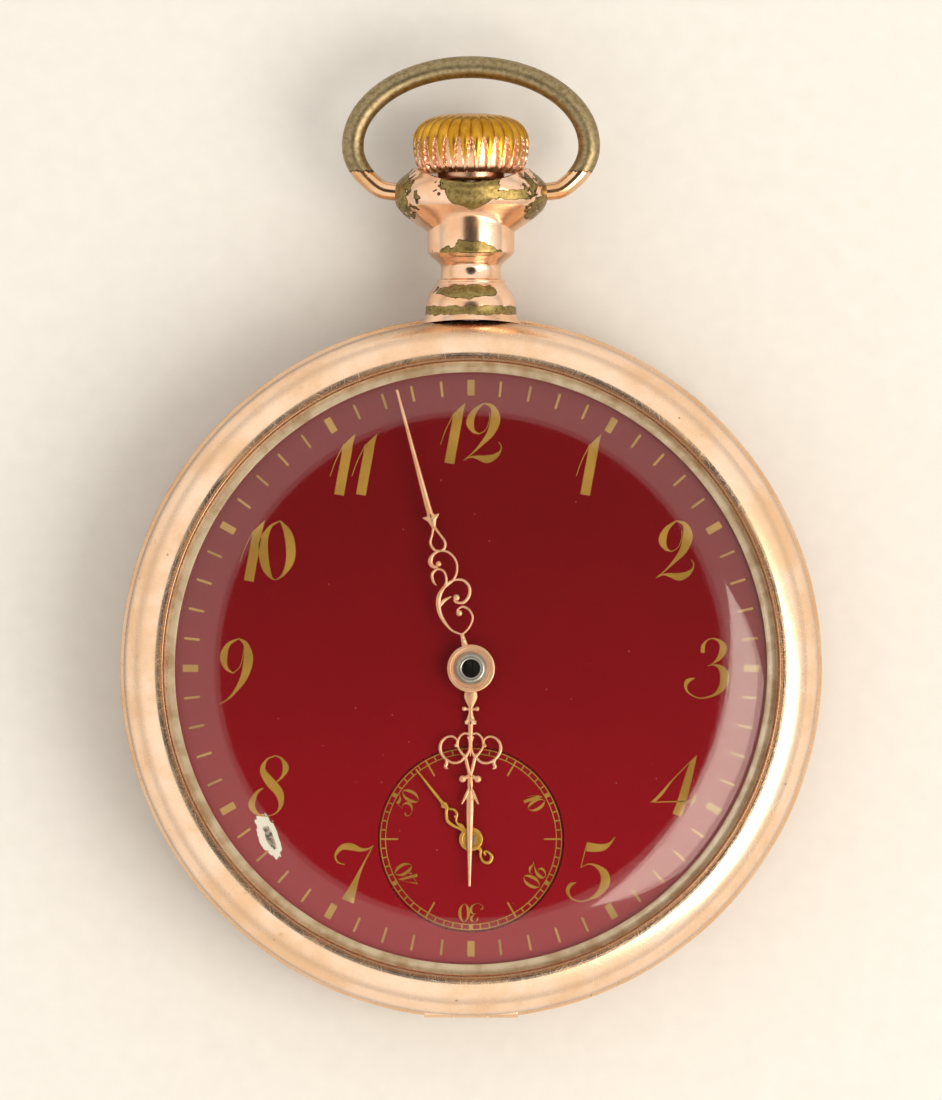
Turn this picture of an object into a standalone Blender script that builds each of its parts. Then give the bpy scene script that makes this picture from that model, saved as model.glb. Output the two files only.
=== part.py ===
"""An open-face pocket watch with a hinged back, lying on its back cover.

+Z is the way the dial faces, +Y is towards the winding crown, and the origin is the middle of
the flat on the back cover. Every size below is in millimetres; MM turns it to metres.
"""

import math

import bmesh
import bpy

MM = 0.001

# ---- driving dimensions, mm ----
CASE_R = 25.0           # outside of the case middle and the bezel
BEAD_R = CASE_R + 0.5   # the thin bead at the seam, the widest round
SEAM_Z = 3.6            # top of the back cover's rim
SEAM_GAP = 0.15         # between the back cover and the case middle
WALL = 0.55             # wall of the back cover
BACK_FLAT_R = CASE_R - 11.0      # outside of the flat ring that the watch lies on
BACK_RING = 1.0         # width of that ring, round the hollow middle
BACK_HOLLOW = 0.12      # how far the middle is hollowed
MIDDLE_TOP_Z = 7.5      # where the bezel's foot starts
BEZEL_GAP = 0.12        # between the bezel's foot and the case middle
BEZEL_TOP_Z = MIDDLE_TOP_Z + 3.5
SIGHT_R = CASE_R - 3.7          # the opening in the bezel's inner shelf
CRYSTAL_R = CASE_R - 3.05
CRYSTAL_RISE = 2.4      # the dome above the bezel
CRYSTAL_TOP_Z = BEZEL_TOP_Z + CRYSTAL_RISE
CRYSTAL_WALL = 0.75
PLATE_R = CASE_R - 3.5          # main plate, a 19-ligne movement
PLATE_Z = (7.2, 8.4)
BRIDGE_R = CASE_R - 4.2
DIAL_R = CASE_R - 3.4
DIAL_Z = (9.2, 9.7)
SUB_DIAL_R = 6.7
SUB_DIAL_SINK = 0.2     # how far the seconds dial lies below the dial
RUN = 0.06              # running clearance of a shaft or a gear
HAND_THICK = 0.14
BOW_WIRE_R = 0.8
BOW_HALF_WIDTH = 8.55   # centre line of the wire
BOW_WIDE_Y = CASE_R + 12.65      # where the loop is widest
BOW_TOP_Y = CASE_R + 18.35       # centre line of the wire
BOW_END_X = 6.2         # where the wire meets its pivot pins
PENDANT_AXIS_Z = 5.9    # the winding stem's height
PENDANT_NECK_R = 2.2
PENDANT_BODY_R = 3.1
PENDANT_HEAD_R = 4.3
PENDANT_ARM_HALF = 5.7
PENDANT_ARM_R = 1.7
PIVOT_Y = CASE_R + 9.35         # the axis on which the bow swings
CROWN_R = 4.25
CROWN_Y = (CASE_R + 10.7, CASE_R + 15.0)
CROWN_FLUTES = 28
COLLAR_R = 2.4          # the crown's neck, which enters the pendant
STEM_R = 0.75
HINGE_R = 0.45          # knuckles of the back's hinge
HINGE_PIN_R = 0.22
HINGE_HALF = 3.4
KNUCKLE_HALF = 1.2
ROUND_STEPS = 36

# ---- where the wheels stand, seen from the dial ----
CENTRE = (0.0, 0.0)
BARREL = (-8.6, 4.7)
THIRD = (-4.25, -6.66)
FOURTH = (0.0, -12.28)
ESCAPE = (6.25, -10.0)
FORK = (8.64, -6.67)
BALANCE = (12.0, -2.0)
MINUTE = (3.2, 2.4)
CROWN_WHEEL = (0.0, 12.2)
CLICK = (-14.2, 11.6)
BALANCE_R = 8.2
RATCHET_Z = (3.2, 3.65)

# ---- teeth ----
BARREL_TEETH, CENTRE_LEAVES = 72, 12
CENTRE_TEETH, THIRD_LEAVES = 64, 8
THIRD_TEETH, FOURTH_LEAVES = 60, 8
FOURTH_TEETH, ESCAPE_LEAVES = 60, 6
ESCAPE_TEETH = 15
CANNON_LEAVES, MINUTE_TEETH = 10, 30
MINUTE_LEAVES, HOUR_TEETH = 8, 32
CROWN_WHEEL_TEETH, RATCHET_TEETH = 26, 40
WINDING_TEETH = 13

HINGE_Y = -(BEAD_R - 0.62)
HINGE_Z = SEAM_Z + 0.1
CUVETTE_R = CASE_R - 1.6
CUVETTE_TOP_Z = 2.3     # the flat of its inner face
CUVETTE_HINGE_Y = -(CUVETTE_R + 0.15)
CUVETTE_HINGE_Z = SEAM_Z - 0.15
CUVETTE_PIN_R = 0.12
CUVETTE_KNUCKLE_R = 0.3

for old in list(bpy.data.objects):
    bpy.data.objects.remove(old)

pieces = bpy.data.collections.new("open_face_pocket_watch")
cutters = bpy.data.collections.new("cutters")
cutters.hide_render = True
for group in (pieces, cutters):
    bpy.context.scene.collection.children.link(group)


def finish(name, colour, roughness, metallic):
    """A plain material: a Principled BSDF with one colour."""
    material = bpy.data.materials.new(name)
    material.use_nodes = True
    shader = material.node_tree.nodes["Principled BSDF"]
    shader.inputs["Base Color"].default_value = (*colour, 1.0)
    shader.inputs["Roughness"].default_value = roughness
    shader.inputs["Metallic"].default_value = metallic
    return material


ROSE_GOLD = finish("rose_gold_plate", (0.80, 0.50, 0.33), 0.22, 1.0)
YELLOW_GOLD = finish("yellow_gold_plate", (0.80, 0.57, 0.22), 0.25, 1.0)
BRASS = finish("gilt_brass", (0.72, 0.52, 0.22), 0.35, 1.0)
NICKEL = finish("nickel_bridges", (0.66, 0.64, 0.60), 0.30, 1.0)
STEEL = finish("polished_steel", (0.55, 0.56, 0.58), 0.22, 1.0)
BLUE_STEEL = finish("blued_steel", (0.05, 0.08, 0.30), 0.25, 1.0)
RED_ENAMEL = finish("red_enamel", (0.30, 0.008, 0.02), 0.15, 0.0)
GLASS = finish("mineral_glass", (0.95, 0.96, 0.95), 0.02, 0.0)
RUBY = finish("ruby", (0.50, 0.02, 0.08), 0.10, 0.0)


# ---- makers ----
def place(obj, material, group=pieces):
    if material:
        obj.data.materials.append(material)
    group.objects.link(obj)
    return obj


def hide(obj):
    """Makes an object a helper that only cuts or joins."""
    obj.hide_render = True
    obj.display_type = "WIRE"
    return obj


def combine(obj, other, operation):
    """A Boolean with a helper, which is kept out of the model."""
    pieces.objects.unlink(other)
    cutters.objects.link(hide(other))
    boolean = obj.modifiers.new(f"{operation.lower()}_{other.name}", "BOOLEAN")
    boolean.operation = operation
    boolean.object = other
    boolean.solver = "EXACT"
    return obj


def cut(obj, *others):
    for other in others:
        combine(obj, other, "DIFFERENCE")
    return obj


def join(obj, *others):
    for other in others:
        combine(obj, other, "UNION")
    return obj


def turned(name, profile, material, at=(0, 0, 0), along="Z", steps=ROUND_STEPS):
    """A turned shape. The profile is (radius, height) points round the section, either way."""
    area = sum(a[0] * b[1] - b[0] * a[1] for a, b in zip(profile, profile[1:] + profile[:1]))
    points = profile if area < 0 else profile[::-1]
    mesh = bpy.data.meshes.new(name)
    count = len(points)
    on_axis = [i for i in range(count) if points[i][0] == 0 and points[i - 1][0] == 0]
    ends = [((i - 1) % count, i) for i in range(count) if i not in on_axis]
    mesh.from_pydata([(r * MM, 0, z * MM) for r, z in points], ends, [])
    obj = bpy.data.objects.new(name, mesh)
    obj.location = [c * MM for c in at]
    if along == "Y":
        obj.rotation_euler = (-math.pi / 2, 0, 0)
    if along == "X":
        obj.rotation_euler = (0, math.pi / 2, 0)
    screw = obj.modifiers.new("turn", "SCREW")
    screw.steps = screw.render_steps = steps
    screw.use_merge_vertices = True
    screw.merge_threshold = 1e-6
    screw.use_smooth_shade = True
    return place(obj, material)


def rod(name, radius, start, end, material=None, at=(0, 0, 0), along="Z", steps=16):
    profile = [(0, start), (0, end), (radius, end), (radius, start)]
    return turned(name, profile, material, at, along, steps)


def block(name, low, high, material=None):
    mesh = bpy.data.meshes.new(name)
    shape = bmesh.new()
    bmesh.ops.create_cube(shape, size=1.0)
    for vertex in shape.verts:
        for k in range(3):
            vertex.co[k] = (low[k] + (vertex.co[k] + 0.5) * (high[k] - low[k])) * MM
    shape.to_mesh(mesh)
    shape.free()
    return place(bpy.data.objects.new(name, mesh), material)


def flat(name, loops, z, material):
    """A flat piece between two heights, from an outline and its holes, as a filled 2D curve."""
    curve = bpy.data.curves.new(name, "CURVE")
    curve.dimensions = "2D"
    curve.fill_mode = "BOTH"
    curve.extrude = (z[1] - z[0]) / 2 * MM
    for loop in loops:
        spline = curve.splines.new("POLY")
        spline.points.add(len(loop) - 1)
        for point, (x, y) in zip(spline.points, loop):
            point.co = (x * MM, y * MM, 0, 1)
        spline.use_cyclic_u = True
    return solid_from_curve(name, curve, material, (0, 0, (z[0] + z[1]) / 2 * MM))


def solid_from_curve(name, curve, material, location=(0, 0, 0)):
    """The curve's evaluated mesh with its caps welded on, so that it can be cut or joined."""
    guide = bpy.data.objects.new(name + "_guide", curve)
    pieces.objects.link(guide)
    graph = bpy.context.evaluated_depsgraph_get()
    mesh = bpy.data.meshes.new_from_object(guide.evaluated_get(graph))
    bpy.data.objects.remove(guide)
    shape = bmesh.new()
    shape.from_mesh(mesh)
    bmesh.ops.remove_doubles(shape, verts=shape.verts, dist=1e-7)
    bmesh.ops.recalc_face_normals(shape, faces=shape.faces)
    shape.to_mesh(mesh)
    shape.free()
    mesh.name = name
    obj = bpy.data.objects.new(name, mesh)
    obj.location = location
    return place(obj, material)


def stacked(name, rings, material, at=(0, 0), along="Z", axis_z=0.0):
    """A loft through rings of equal point count, each (height, points), closed at both ends."""
    count = len(rings[0][1])
    shape = bmesh.new()
    rows = [[shape.verts.new((x * MM, y * MM, h * MM)) for x, y in ring] for h, ring in rings]
    for low, high in zip(rows, rows[1:]):
        for i in range(count):
            shape.faces.new((low[i - 1], low[i], high[i], high[i - 1]))
    shape.faces.new(rows[0][::-1])
    shape.faces.new(rows[-1])
    bmesh.ops.recalc_face_normals(shape, faces=shape.faces)
    mesh = bpy.data.meshes.new(name)
    shape.to_mesh(mesh)
    shape.free()
    obj = bpy.data.objects.new(name, mesh)
    obj.location = (at[0] * MM, at[1] * MM, axis_z * MM)
    if along == "Y":
        obj.rotation_euler = (-math.pi / 2, 0, 0)
    return place(obj, material)


# ---- outlines ----
def ring(radius, at=(0, 0), count=24, start=0.0):
    turns = [start + 2 * math.pi * i / count for i in range(count)]
    return [(at[0] + radius * math.cos(t), at[1] + radius * math.sin(t)) for t in turns]


def arc(radius, at, first, last, count):
    turns = [math.radians(first + (last - first) * i / (count - 1)) for i in range(count)]
    return [(at[0] + radius * math.cos(t), at[1] + radius * math.sin(t)) for t in turns]


def toothed(teeth, pitch_r, phase, at=(0, 0), leaf=False):
    """Pointed wheel teeth, or slim flat-topped pinion leaves, round a pitch circle."""
    module = 2 * pitch_r / teeth
    step = 2 * math.pi / teeth
    tip, root = pitch_r + 0.8 * module, pitch_r - 1.25 * module
    shares = ((-0.2, root), (-0.09, tip), (0.09, tip), (0.2, root))
    if not leaf:
        shares = ((0.0, tip), (0.5, root))
    turns = [(phase + (k + s) * step, r) for k in range(teeth) for s, r in shares]
    return [(at[0] + r * math.cos(t), at[1] + r * math.sin(t)) for t, r in turns]


def pitch(a, b, teeth_a, teeth_b):
    """Both pitch radii of a pair of wheels on centres a and b, and the way from a to b."""
    gap = math.dist(a, b)
    share = teeth_a / (teeth_a + teeth_b)
    return gap * share, gap * (1 - share), math.atan2(b[1] - a[1], b[0] - a[0])


def arbor(name, at, shaft_r, span, leaves, leaf_pitch_r, phase, leaf_z, material=STEEL):
    """A steel arbor with a pinion cut on it."""
    teeth = toothed(leaves, leaf_pitch_r, phase)
    shaft = [
        (shaft_r * x / math.hypot(x, y), shaft_r * y / math.hypot(x, y)) for x, y in teeth
    ]
    low, high = leaf_z
    rings = [(span[0], shaft), (low, shaft), (low, teeth), (high, teeth), (high, shaft)]
    return stacked(name, rings + [(span[1], shaft)], material, at)


def wheel(name, at, teeth, pitch_r, phase, z, hub_r, spokes, material):
    """A flat crossed-out wheel: teeth, windows between its spokes, and a bore for its arbor."""
    rim = pitch_r - 1.25 * 2 * pitch_r / teeth - 0.55
    loops = [toothed(teeth, pitch_r, phase, at), ring(hub_r, at, 12)]
    half = 90.0 / spokes
    for k in range(spokes):
        middle = 360.0 * k / spokes
        width = half * 1.7
        outer = arc(rim, at, middle - width, middle + width, 5)
        inner = arc(hub_r + 1.0, at, middle + width * 0.55, middle - width * 0.55, 3)
        loops.append(outer + inner)
    return flat(name, loops, z, material)


def screw_piece(name, at, head_r, head_z, shank_end, shank_r, material=BLUE_STEEL):
    """A slotted screw: its head, and its shank going towards +Z."""
    low, high = head_z
    profile = [(0, low), (0, shank_end), (shank_r, shank_end), (shank_r, high)]
    profile += [(head_r, high), (head_r, low + 0.08), (head_r - 0.12, low)]
    piece = turned(name, profile, material, (*at, 0), steps=10)
    slot = block(name + "_slot", (at[0] - head_r * 1.2, at[1] - 0.1, low - 0.2),
                 (at[0] + head_r * 1.2, at[1] + 0.1, low + 0.12))
    return cut(piece, slot)


# ---- the case ----
def back_cover():
    rim = BEAD_R - 0.1
    inner = rim - WALL
    middle_r = BACK_FLAT_R - BACK_RING
    profile = [(0, BACK_HOLLOW), (middle_r - 0.3, BACK_HOLLOW), (middle_r, 0), (BACK_FLAT_R, 0), (rim - 6.4, 0.35), (rim - 3.0, 1.15),
                                      (rim - 1.0, 2.2), (rim, SEAM_Z - 0.5)]
    profile += [(rim, SEAM_Z), (inner, SEAM_Z), (inner, SEAM_Z - 0.5), (rim - 1.4, 2.65), (rim - 3.4, 1.7)]
    profile += [(rim - 6.6, 0.35 + WALL), (BACK_FLAT_R, WALL), (middle_r, WALL + BACK_HOLLOW / 2)]
    profile += [(0, WALL + BACK_HOLLOW / 2)]
    cover = turned("back_cover", profile, ROSE_GOLD)
    notch = block("back_notch", (-HINGE_HALF - 0.3, -rim - 5, SEAM_Z - 1.0),
                  (HINGE_HALF + 0.3, -(rim - 1.0), SEAM_Z + 2))
    cut(cover, notch)
    web = block("back_web", (-KNUCKLE_HALF, HINGE_Y - HINGE_R * 0.8, SEAM_Z - 1.4),
                (KNUCKLE_HALF, -(rim - 1.1), HINGE_Z))
    knuckle = rod("back_knuckle", HINGE_R, -KNUCKLE_HALF, KNUCKLE_HALF,
                  at=(0, HINGE_Y, HINGE_Z), along="X")
    join(cover, web, knuckle)
    cut(cover, hinge_bore("back_bore", HINGE_Y, HINGE_Z, HINGE_PIN_R))


def hinge_bore(name, y, z, pin_r):
    return rod(name, pin_r + RUN / 2, -10, 10, at=(0, y, z), along="X", steps=12)


def case_middle():
    low = SEAM_Z + SEAM_GAP
    profile = [(BEAD_R - 0.1, low), (BEAD_R, low + 0.1), (BEAD_R, low + 0.5), (CASE_R, low + 0.85)]
    profile += [(CASE_R + 0.1, PENDANT_AXIS_Z), (CASE_R, MIDDLE_TOP_Z)]
    step, inside = MIDDLE_TOP_Z + 1.1, PLATE_R + 0.5
    profile += [(inside + 1.2, MIDDLE_TOP_Z), (inside + 1.0, step), (inside + 0.2, step)]
    profile += [(inside, step - 0.2), (inside, MIDDLE_TOP_Z - 0.2), (inside + 0.7, MIDDLE_TOP_Z - 0.2)]
    profile += [(inside + 0.7, low)]
    middle = turned("case_middle", profile, ROSE_GOLD)
    gap = KNUCKLE_HALF + RUN
    cut(middle, block("middle_notch", (-gap, -BEAD_R - 5, 0), (gap, -(BEAD_R - 1.2), low + 0.9)))
    for side in (-1, 1):
        ends = sorted((side * gap, side * HINGE_HALF))
        join(middle, rod(f"middle_knuckle_{side}", HINGE_R, *ends,
                         at=(0, HINGE_Y, HINGE_Z), along="X"))
        lug = sorted((side * 1.0, side * 2.0))
        y, z, r = CUVETTE_HINGE_Y, CUVETTE_HINGE_Z, CUVETTE_KNUCKLE_R
        join(middle, block(f"middle_lug_{side}", (lug[0], y - r, z - r), (lug[1], y + r, low + 0.2)))
    cut(middle, hinge_bore("middle_bore", HINGE_Y, HINGE_Z, HINGE_PIN_R))
    cut(middle, hinge_bore("lug_bore", CUVETTE_HINGE_Y, CUVETTE_HINGE_Z, CUVETTE_PIN_R))
    cut(middle, rod("stem_hole", STEM_R + 0.35, CASE_R - 5, CASE_R + 2, at=(0, 0, PENDANT_AXIS_Z), along="Y"))


def hinge_pins():
    rod("back_hinge_pin", HINGE_PIN_R, -HINGE_HALF, HINGE_HALF, STEEL,
        (0, HINGE_Y, HINGE_Z), "X", 12)
    rod("cuvette_hinge_pin", CUVETTE_PIN_R, -2, 2, STEEL,
        (0, CUVETTE_HINGE_Y, CUVETTE_HINGE_Z), "X", 12)


def cuvette():
    """The inner dust cover, a shallow dish between the movement and the back cover."""
    top = SEAM_Z - 0.02
    flat_top = CUVETTE_TOP_Z
    profile = [(0, flat_top - 0.35), (CUVETTE_R - 2.8, flat_top - 0.35), (CUVETTE_R - 1.4, flat_top - 0.05)]
    profile += [(CUVETTE_R - 0.9, top - 0.3), (CUVETTE_R, top - 0.3), (CUVETTE_R, top)]
    profile += [(CUVETTE_R - 1.2, top), (CUVETTE_R - 1.6, flat_top + 0.25), (CUVETTE_R - 2.8, flat_top)]
    profile += [(0, flat_top)]
    cover = turned("cuvette", profile, YELLOW_GOLD)
    gap, y, z, r = 1.0 - RUN, CUVETTE_HINGE_Y, CUVETTE_HINGE_Z, CUVETTE_KNUCKLE_R
    for side in (-1, 1):
        lug = sorted((side * (1.0 - RUN), side * (2.0 + RUN)))
        cut(cover, block(f"cuvette_notch_{side}", (lug[0], y - 1, z - 1), (lug[1], y + r + 0.1, z + 1)))
    join(cover, rod("cuvette_knuckle", r, -gap, gap, at=(0, y, z), along="X"))
    join(cover, block("cuvette_web", (-gap, y, z - 0.14), (gap, y + 0.6, z + 0.12)))
    cut(cover, hinge_bore("cuvette_bore", y, z, CUVETTE_PIN_R))


def bezel_and_crystal():
    foot = MIDDLE_TOP_Z + BEZEL_GAP
    seat = BEZEL_TOP_Z - 0.85
    lip = CRYSTAL_R + 0.08
    profile = [(CASE_R - 0.15, foot), (CASE_R, foot + 0.5), (CASE_R - 0.25, foot + 1.6)]
    profile += [(CASE_R - 0.8, BEZEL_TOP_Z - 0.85), (CASE_R - 1.7, BEZEL_TOP_Z - 0.2)]
    profile += [(CASE_R - 2.3, BEZEL_TOP_Z)]
    profile += [(lip, BEZEL_TOP_Z - 0.12), (lip, seat), (SIGHT_R, seat), (SIGHT_R, seat - 0.25)]
    profile += [(CASE_R - 2.4, seat - 0.25), (CASE_R - 1.7, seat - 0.8), (CASE_R - 1.7, foot)]
    turned("bezel", profile, ROSE_GOLD)
    top, wall, edge = CRYSTAL_TOP_Z, CRYSTAL_WALL, CRYSTAL_R
    low = seat + 0.05
    fall = CRYSTAL_RISE / 2.4
    dome = [(0, top), (edge - 10.95, top - 0.25 * fall), (edge - 5.45, top - 0.65 * fall)]
    dome += [(edge - 2.55, top - 1.2 * fall), (edge - 0.75, top - 1.8 * fall), (edge, top - 2.4 * fall)]
    dome += [(edge, low), (edge - 0.6, low), (edge - 0.7, top - 2.5 * fall)]
    dome += [(edge - 1.55, top - 1.35 * fall - wall), (edge - 3.15, top - 0.95 * fall - wall)]
    dome += [(edge - 5.95, top - 0.6 * fall - wall), (edge - 11.95, top - 0.2 * fall - wall), (0, top - wall)]
    turned("crystal", dome, GLASS)


def pendant():
    """The neck between case and crown: turned round the stem, with an arm each side."""
    z = PENDANT_AXIS_Z
    bore = STEM_R + 0.35
    core = bore / 2     # opened to the bore below
    shape = [(core, -1.0), (4.0, -1.0), (4.0, 0.6), (PENDANT_BODY_R + 0.2, 1.2)]
    shape += [(PENDANT_BODY_R, 2.0), (PENDANT_NECK_R + 0.15, 2.8), (PENDANT_NECK_R, 3.4)]
    shape += [(PENDANT_NECK_R + 0.2, 4.2), (PENDANT_BODY_R, 4.9), (PENDANT_BODY_R, 6.6)]
    shape += [(PENDANT_BODY_R + 0.5, 7.4), (PENDANT_HEAD_R, 8.4), (PENDANT_HEAD_R, 10.0)]
    shape += [(core, 10.0)]
    profile = [(r, CASE_R + rise) for r, rise in shape]
    body = turned("pendant", profile, ROSE_GOLD, (0, 0, z), "Y", 24)
    half = PENDANT_ARM_HALF
    arm = [(0, -half), (0, half), (1.2, half), (PENDANT_ARM_R, 4.8)]
    arm += [(PENDANT_ARM_R, -4.8), (1.2, -half)]
    join(body, turned("pendant_arms", arm, None, (0, PIVOT_Y - 0.4, z), "X", 16))
    cut(body, rod("pendant_bore", bore, CASE_R - 5, CASE_R + 15, at=(0, 0, z), along="Y"))
    cut(body, rod("crown_recess", COLLAR_R + 0.3, CASE_R + 9.8, CASE_R + 15, at=(0, 0, z), along="Y"))
    bead_top = SEAM_Z + SEAM_GAP + 0.9
    cut(body, rod("pendant_foot", CASE_R + 0.16, bead_top - 0.2, 20, steps=72))
    cut(body, rod("pendant_foot_bead", BEAD_R + 0.06, -5, bead_top, steps=72))
    cut(body, rod("bow_hole", 0.5, -12, 12, at=(0, PIVOT_Y, z), along="X"))


def bow():
    """The wire loop: an oval arch from one arm of the pendant to the other."""
    curve = bpy.data.curves.new("bow", "CURVE")
    curve.dimensions = "3D"
    curve.bevel_depth = BOW_WIRE_R * MM
    curve.bevel_resolution = 2
    curve.use_fill_caps = True
    curve.fill_mode = "FULL"
    start = -math.acos(BOW_END_X / BOW_HALF_WIDTH)
    rise, fall = BOW_TOP_Y - BOW_WIDE_Y, (BOW_WIDE_Y - PIVOT_Y) / -math.sin(start)
    spline = curve.splines.new("POLY")
    count = 21
    spline.points.add(count - 1)
    for i, point in enumerate(spline.points):
        turn = start + (math.pi - 2 * start) * i / (count - 1)
        height = math.sin(turn) * (rise if turn > 0 and turn < math.pi else fall)
        x, y = BOW_HALF_WIDTH * math.cos(turn), BOW_WIDE_Y + height
        point.co = (x * MM, y * MM, PENDANT_AXIS_Z * MM, 1)
    hoop = solid_from_curve("bow", curve, ROSE_GOLD)
    for side in (-1, 1):
        ends = sorted((side * 4.3, side * (BOW_END_X - 0.15)))
        join(hoop, rod(f"bow_pin_{side}", 0.42, *ends, at=(0, PIVOT_Y, PENDANT_AXIS_Z), along="X"))


def crown():
    """The onion crown: rings of flutes that swell and close in again, over a short collar."""
    count = 2 * CROWN_FLUTES
    low, high = CROWN_Y
    tall = high - low

    def flutes(radius, depth):
        turns = [2 * math.pi * i / count for i in range(count)]
        return [((radius - depth * (i % 2)) * math.cos(t), (radius - depth * (i % 2)) * math.sin(t))
                for i, t in enumerate(turns)]

    sizes = ((0.0, 3.1, 0.2), (0.3, 4.1, 0.3), (0.52, CROWN_R, 0.3), (0.8, 3.75, 0.22), (1.0, 1.2, 0.0))
    rings = [(low + s * tall, flutes(r, depth)) for s, r, depth in sizes]
    cap = stacked("crown", rings, YELLOW_GOLD, along="Y", axis_z=PENDANT_AXIS_Z)
    collar = rod("crown_collar", COLLAR_R, low - 0.55, low + 0.5, at=(0, 0, PENDANT_AXIS_Z),
                 along="Y", steps=24)
    join(cap, collar)
    cut(cap, rod("crown_socket", STEM_R + RUN, low - 2, low + 2.2, at=(0, 0, PENDANT_AXIS_Z),
                 along="Y"))


# ---- keyless works ----
def keyless_works():
    """Stem, castle wheel and winding pinion on one line, and the wheels that they wind."""
    z = PENDANT_AXIS_Z
    rod("stem", STEM_R, 13.2, CROWN_Y[0] + 2.0, STEEL, (0, 0, z), "Y")
    for name, teeth, radius, ends in (("castle_wheel", 11, 1.45, (14.0, 15.95)),
                                      ("winding_pinion", WINDING_TEETH, 1.78, (16.1, 18.1))):
        outline = toothed(teeth, radius, 0.0, leaf=True)
        piece = stacked(name, [(y, outline) for y in ends], STEEL, along="Y", axis_z=z)
        cut(piece, rod(name + "_bore", STEM_R + RUN, 12, 20, at=(0, 0, z), along="Y"))
    crown_r, ratchet_r, way = pitch(CROWN_WHEEL, BARREL, CROWN_WHEEL_TEETH, RATCHET_TEETH)
    flat("crown_wheel", [toothed(CROWN_WHEEL_TEETH, crown_r, way, CROWN_WHEEL),
                         ring(1.0 + RUN, CROWN_WHEEL, 16)], RATCHET_Z, STEEL)
    opposite = way + math.pi + math.pi / RATCHET_TEETH
    flat("ratchet_wheel", [toothed(RATCHET_TEETH, ratchet_r, opposite, BARREL),
                           ring(1.0 + RUN, BARREL, 16)], RATCHET_Z, STEEL)
    screw_piece("crown_wheel_screw", CROWN_WHEEL, 1.6, (2.85, 3.12), 4.5, 1.0)
    away = math.dist(CLICK, BARREL)
    toward = ((BARREL[0] - CLICK[0]) / away, (BARREL[1] - CLICK[1]) / away)
    reach = away - ratchet_r * (1 + 1.6 / RATCHET_TEETH) - RUN
    side = (-toward[1], toward[0])
    beak = [(CLICK[0] + toward[0] * u + side[0] * v, CLICK[1] + toward[1] * u + side[1] * v)
            for u, v in ((-0.9, -0.5), (0.3, -0.9), (reach, -0.5), (reach, -0.2), (0.6, 0.9), (-0.9, 0.5))]
    flat("click", [beak, ring(0.35, CLICK, 10)], RATCHET_Z, STEEL)
    spring = arc(1.9, CLICK, 130, 245, 8) + arc(1.65, CLICK, 245, 130, 8)
    flat("click_spring", [spring], RATCHET_Z, STEEL)


# ---- the movement ----
def main_plate():
    holes = [ring(0.55, CENTRE, 12), ring(1.1, BARREL, 16), ring(0.4, THIRD, 12)]
    holes += [ring(0.45, FOURTH, 12), ring(0.4, ESCAPE, 12), ring(0.4, FORK, 12)]
    holes += [ring(0.4, BALANCE, 12), ring(0.36, MINUTE, 12)]
    holes += [[(-2.2, 13.6), (2.2, 13.6), (2.2, 18.6), (-2.2, 18.6)]]
    holes += [ring(0.46, at, 10) for at in CASE_SCREWS]
    flat("main_plate", [ring(PLATE_R, count=48)] + holes, PLATE_Z, BRASS)


CASE_SCREWS = [((PLATE_R - 1.3) * math.cos(math.radians(a)), (PLATE_R - 1.3) * math.sin(math.radians(a)))
               for a in (20, 195)]
BRIDGE_Z = (3.75, 4.2)
BARREL_BRIDGE_Z = (3.75, 4.65)
COCK_Z = (2.6, 3.25)
FEET = {"barrel_bridge": ((-14.2, 14.0), (14.0, 12.0)),
        "train_bridge": ((-16.0, -9.0), (-6.2, -18.2), (7.6, -17.2)),
        "balance_cock": ((14.2, -13.6),)}
FOOT_R = 1.5
SCREW_SHANK_R = 0.42


def bridge(name, loops, z, feet):
    """A bridge with a foot under each screw, down to the main plate."""
    piece = flat(name, loops, z, NICKEL)
    for k, at in enumerate(feet):
        foot = rod(f"{name}_foot_{k}", FOOT_R, z[1] - 0.2, PLATE_Z[0] - 0.02, at=(*at, 0))
        join(piece, foot)
        cut(piece, rod(f"{name}_hole_{k}", SCREW_SHANK_R + RUN, z[0] - 1, 6.2, at=(*at, 0), steps=12))
    return piece


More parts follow.
